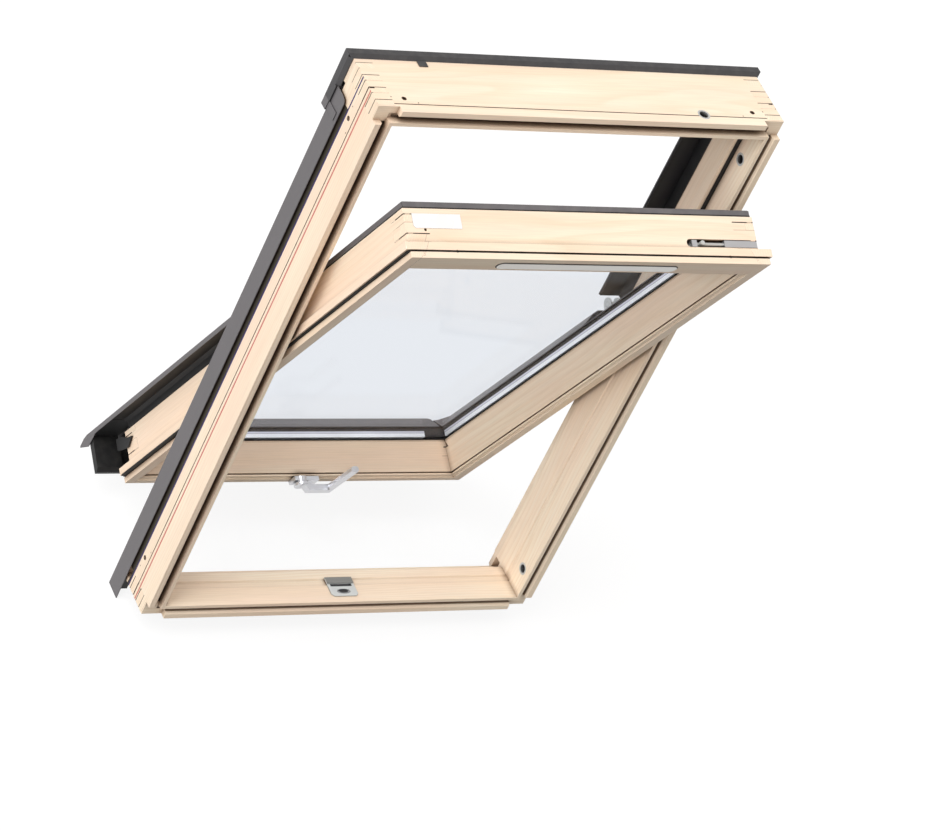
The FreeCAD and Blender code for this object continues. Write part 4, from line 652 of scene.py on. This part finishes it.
# A closed outline carried through several places, with its two ends closed.
def loft(name, sections):
    count = len(sections[0])
    vertices = [place for section in sections for place in section]
    faces = [tuple(range(count)), tuple(reversed(range(len(vertices) - count, len(vertices))))]
    for level in range(len(sections) - 1):
        low = level * count
        high = low + count
        for corner in range(count):
            following = (corner + 1) % count
            faces.append((low + following, low + corner, high + corner, high + following))
    item = add_mesh(name, vertices, faces)
    builder = bmesh.new()
    builder.from_mesh(item.data)
    bmesh.ops.recalc_face_normals(builder, faces=builder.faces)
    builder.to_mesh(item.data)
    builder.free()
    return item


# The section of a folded sheet: its outer line, and the same line set in by the sheet's thickness.
def folded(line, thick):
    inner = []
    for number, (x, y) in enumerate(line):
        turns = []
        if number > 0:
            turns.append(Vector((x - line[number - 1][0], y - line[number - 1][1])).normalized())
        if number < len(line) - 1:
            turns.append(Vector((line[number + 1][0] - x, line[number + 1][1] - y)).normalized())
        normals = [Vector((turn.y, -turn.x)) for turn in turns]
        middle = sum(normals, Vector((0.0, 0.0))).normalized()
        step = middle * thick / middle.dot(normals[0])
        inner.append((x + step.x, y + step.y))
    return line + inner[::-1]


# A made piece gets its finish, small roundings at its folds, and the body that it moves with.
FOLD_ROUNDING = 0.0004
FOLD_FROM = math.radians(20.0)


def dress(item, body, finish, bevel_width=FOLD_ROUNDING, replaces=()):
    item.data.materials.append(materials[finish])
    rounding = item.modifiers.new("rounded folds", "BEVEL")
    rounding.width = bevel_width
    rounding.segments = 2
    rounding.limit_method = "ANGLE"
    rounding.angle_limit = FOLD_FROM
    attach(item, body)
    if replaces:
        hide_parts(*replaces)
    return item


# Several meshes become one piece.
def join(name, items):
    builder = bmesh.new()
    for item in items:
        builder.from_mesh(item.data)
        bpy.data.objects.remove(item)
    mesh = bpy.data.meshes.new(name)
    builder.to_mesh(mesh)
    builder.free()
    joined = bpy.data.objects.new(name, mesh)
    bpy.context.scene.collection.objects.link(joined)
    return joined


# Cladding sheets round the glass. Their lines give insets from the sash's edge and depths, and the
# nose's line gives depths and heights over the wing's foot.
SIDES = (("left", -1.0), ("right", 1.0))
SHEET = 1.5
GLASS_SHOULDER = [(57.0, 88.4), (57.0, 86.3)]
UPPER_LINE = [(17.0, 94.0), (17.0, 102.5), (18.5, 104.0), (26.0, 104.0)] + GLASS_SHOULDER
COVER_TOP = [(20.0, 117.0), (30.6, 111.4)]
WING_FLAT = [(-16.0, 108.5), (-16.0, 117.0)] + COVER_TOP
FOOT_FLAT = [(-70.0, 108.5), (-70.0, 117.0)] + COVER_TOP
UPPER_END = -24.0
LOWER_END = -25.0
WING_FOOT = SASH_FOOT - 70.0
NOSE_LINE = ((117.0, 0.0), (114.5, -14.0), (106.5, -33.0), (104.0, -33.0), (95.0, -2.0), (108.5, 33.0),
             (108.5, 0.0))
SLOPE_START = 31.0
SLOPE_END = 57.0
LOW_SLOPE = (88.4, 86.3)
HIGH_SLOPE = (109.0, 107.0)
WING_REACH = 16.0
FOOT_SETBACK = 62.5
MITRE_GAP = 0.4


upper_sheet = folded(UPPER_LINE, SHEET)
for label, sign in SIDES:
    sections = [[in_sash(sign * (SASH_HALF - inset), depth, UPPER_END) for inset, depth in upper_sheet],
                [in_sash(sign * (SASH_HALF - inset), depth, SASH_TOP - inset - MITRE_GAP)
                 for inset, depth in upper_sheet]]
    strip = loft("edge_strip_" + label, sections)
    dress(strip, "sash", "grey sheet", replaces=("sash_edge_strips",) if sign < 0 else ())

head_sections = [[in_sash(sign * (SASH_HALF - inset - MITRE_GAP), depth, SASH_TOP - inset)
                  for inset, depth in upper_sheet] for label, sign in SIDES]
dress(loft("head_strip", head_sections), "sash", "grey sheet", replaces=("sash_head_strip",))


# The side covers' section ends in a slope down to the glass, which runs out towards the foot.
def wing_line(shoulder, foot):
    return folded(WING_FLAT + [(SLOPE_END, shoulder), (SLOPE_END, foot)], SHEET)


low_line = wing_line(*LOW_SLOPE)
high_line = wing_line(*HIGH_SLOPE)
for label, sign in SIDES:
    places = ((LOWER_END, low_line), (SASH_FOOT + SLOPE_END, low_line), (SASH_FOOT + SLOPE_START, high_line),
              (WING_FOOT, high_line))
    sections = [[in_sash(sign * (SASH_HALF - inset), depth, height) for inset, depth in line]
                for height, line in places]
    cover = loft("side_cover_sheet_" + label, sections)
    nose = [(depth, WING_FOOT + rise) for depth, rise in NOSE_LINE]
    outer = sign * (SASH_HALF + WING_REACH)
    flank = loft("nose_" + label, [[in_sash(side, depth, height) for depth, height in nose]
                                   for side in (outer, outer - sign * SHEET)])
    cover = join("side_cover_" + label + "_sheet", [cover, flank])
    dress(cover, "sash", "grey sheet", replaces=("side_cover_" + label,))

foot_line = folded(FOOT_FLAT + GLASS_SHOULDER, SHEET)
foot_reach = SASH_HALF - FOOT_SETBACK
foot_sections = [[in_sash(side, depth, SASH_FOOT + inset) for inset, depth in foot_line]
                 for side in (-foot_reach, foot_reach)]
dress(loft("bottom_cover_sheet", foot_sections), "sash", "grey sheet", replaces=("bottom_cover",))


# The open ends of the finger slots in the stiles' outer sides are plugged with pine.
PLUG_FACE = 336.9
PLUG_BACK = 325.0
PLUG_DEPTHS = ((47.4, 66.8), (80.5, 90.8))
PLUG_HEIGHTS = ((422.7, 463.8), (-581.8, -540.7))
FINE_ROUNDING = 0.0002
plugs = []
for label, sign in SIDES:
    for near, far in PLUG_DEPTHS:
        for low, high in PLUG_HEIGHTS:
            ends = [[in_sash(sign * side, near, low), in_sash(sign * side, far, low),
                     in_sash(sign * side, far, high), in_sash(sign * side, near, high)]
                    for side in (PLUG_FACE, PLUG_BACK)]
            plugs.append(loft("plug", ends))
dress(join("finger_plugs", plugs), "sash", "stile pine", FINE_ROUNDING)

# A black moulded arm reaches from each end block over the foot of the stile.
ARM_OUTLINE = ((73.3, -551.6), (59.0, -570.3), (63.0, -598.0), (66.0, -612.0), (88.0, -612.0),
               (86.0, -590.0), (77.0, -573.0))
ARM_SIDES = (337.2, 341.0)
ARM_ROUNDING = 0.0006
for label, sign in SIDES:
    ends = [[in_sash(sign * side, depth, height) for depth, height in ARM_OUTLINE] for side in ARM_SIDES]
    dress(loft("moulded_arm_" + label, ends), "sash", "black moulding", ARM_ROUNDING)

# A thin black ring of painted shade lies round the vent bar in the head's room face, for the shadow in the
# gap at its edge.
VENT_HEIGHT = 452.0
VENT_STRAIGHT = 161.5
SHADOW_GAP_SECTION = ((10.6, 0.6), (10.6, -0.5), (12.3, -0.5), (12.3, 0.6))
ROUND_STEPS = 14
shadow_gap_places = []
for end in (1.0, -1.0):
    for step in range(ROUND_STEPS + 1):
        turn = math.pi * (step / ROUND_STEPS - 0.5) + (0.0 if end > 0 else math.pi)
        for radius, depth in SHADOW_GAP_SECTION:
            shadow_gap_places.append(in_sash(end * VENT_STRAIGHT + radius * math.cos(turn), depth,
                                         VENT_HEIGHT + radius * math.sin(turn)))
corners = len(SHADOW_GAP_SECTION)
rings = len(shadow_gap_places) // corners
shadow_gap_faces = []
for ring in range(rings):
    low = ring * corners
    high = (ring + 1) % rings * corners
    for corner in range(corners):
        following = (corner + 1) % corners
        shadow_gap_faces.append((low + corner, low + following, high + following, high + corner))
shadow_gap = add_mesh("vent_shadow_gap", shadow_gap_places, shadow_gap_faces)
dress(shadow_gap, "sash", "black rubber", FINE_ROUNDING)


# Floor, light and camera. The floor is white as it is seen, and throws little light on the window.
FLOOR_LEVEL = -0.0455
FLOOR_REACH = 25.0
SEEN_PAPER = (0.9, 0.9, 0.9, 1.0)
LIT_PAPER = (0.12, 0.12, 0.12, 1.0)
WHITE = (1.0, 1.0, 1.0, 1.0)
FLOOR_GLOW = 1.06
GLOW_SHARE = 0.82
floor_corners = [(-FLOOR_REACH, -FLOOR_REACH), (FLOOR_REACH, -FLOOR_REACH), (FLOOR_REACH, FLOOR_REACH),
                 (-FLOOR_REACH, FLOOR_REACH)]
floor = add_mesh("floor", [(x, y, FLOOR_LEVEL) for x, y in floor_corners], [(0, 1, 2, 3)])
floor_material, floor_tree, floor_shader = new_material("white floor")
floor_shader.inputs["Roughness"].default_value = 0.9
floor_shader.inputs["Specular IOR Level"].default_value = 0.0
path = add_node(floor_tree, "ShaderNodeLightPath")
paper = blend_colours(floor_tree, path.outputs["Is Camera Ray"], LIT_PAPER, SEEN_PAPER)
feed(floor_tree, floor_shader.inputs["Base Color"], paper)
seen = math_node(floor_tree, "MAXIMUM", path.outputs["Is Camera Ray"], path.outputs["Is Transmission Ray"])
seen = math_node(floor_tree, "MAXIMUM", seen, path.outputs["Is Glossy Ray"])
glow = add_node(floor_tree, "ShaderNodeEmission")
glow.inputs["Color"].default_value = WHITE
glow.inputs["Strength"].default_value = FLOOR_GLOW
mix = add_node(floor_tree, "ShaderNodeMixShader")
feed(floor_tree, mix.inputs["Fac"], math_node(floor_tree, "MULTIPLY", seen, GLOW_SHARE))
floor_tree.links.new(floor_shader.outputs["BSDF"], mix.inputs[1])
floor_tree.links.new(glow.outputs["Emission"], mix.inputs[2])
floor_output = floor_tree.nodes["Material Output"]
floor_tree.links.new(mix.outputs["Shader"], floor_output.inputs["Surface"])
floor.data.materials.append(floor_material)

# The room is brighter towards the upper left, for plain light and for what the metal mirrors.
LIGHT_SIDE = (-0.78, 0.05, 0.62)
AMBIENT_LEVELS = (-0.6, 0.9, 0.26, 0.95)
MIRRORED_LEVELS = (-0.3, 0.8, 0.25, 1.15)
WARM_WHITE = (1.0, 0.98, 0.96, 1.0)


def mix_levels(tree, factor, first, second):
    node = add_node(tree, "ShaderNodeMix", data_type="FLOAT")
    feed(tree, node.inputs[0], factor)
    feed(tree, node.inputs[2], first)
    feed(tree, node.inputs[3], second)
    return node.outputs[0]


world = bpy.data.worlds.new("soft room light")
bpy.context.scene.world = world
world.use_nodes = True
world_tree = world.node_tree
background = world_tree.nodes["Background"]
world_path = add_node(world_tree, "ShaderNodeLightPath")
shown = math_node(world_tree, "MAXIMUM", world_path.outputs["Is Camera Ray"],
                  world_path.outputs["Is Transmission Ray"])
towards_light = add_node(world_tree, "ShaderNodeVectorMath", operation="DOT_PRODUCT")
feed(world_tree, towards_light.inputs[0], add_node(world_tree, "ShaderNodeTexCoord").outputs["Generated"])
towards_light.inputs[1].default_value = LIGHT_SIDE
ambient = ramp_node(world_tree, towards_light.outputs["Value"], *AMBIENT_LEVELS)
mirrored = ramp_node(world_tree, towards_light.outputs["Value"], *MIRRORED_LEVELS)
level = mix_levels(world_tree, world_path.outputs["Is Glossy Ray"], ambient, mirrored)
feed(world_tree, background.inputs["Color"], blend_colours(world_tree, shown, WARM_WHITE, WHITE))
feed(world_tree, background.inputs["Strength"], mix_levels(world_tree, shown, level, 1.0))


# A wide soft lamp far away, in the direction given from the window.
def add_sun(name, towards, strength, spread):
    lamp = bpy.data.lights.new(name, "SUN")
    lamp.energy = strength
    lamp.angle = math.radians(spread)
    item = bpy.data.objects.new(name, lamp)
    item.rotation_euler = Vector(towards).to_track_quat("Z", "Y").to_euler()
    bpy.context.scene.collection.objects.link(item)


add_sun("key light", (-0.50, -0.10, 0.84), 1.2, 34.0)
add_sun("left light", (-0.90, -0.30, 0.26), 1.45, 60.0)

# The camera's place and its axes: to the right, up, and back from what it looks at.
EYE = (-3.93210, -4.75159, 5.18711)
RIGHT = (0.85700, -0.36576, 0.36300)
UP = (0.00098, 0.70558, 0.70863)
BACK = (-0.51531, -0.60694, 0.60504)
lens = bpy.data.cameras.new("camera")
lens.sensor_fit = "HORIZONTAL"
lens.sensor_width = 36.0
lens.lens = 172.33
lens.clip_end = 100.0
camera = bpy.data.objects.new("camera", lens)
camera.matrix_world = Matrix.Translation(EYE) @ Matrix((RIGHT, UP, BACK)).transposed().to_4x4()
bpy.context.scene.collection.objects.link(camera)
bpy.context.scene.camera = camera
bpy.context.scene.view_settings.view_transform = "Standard"
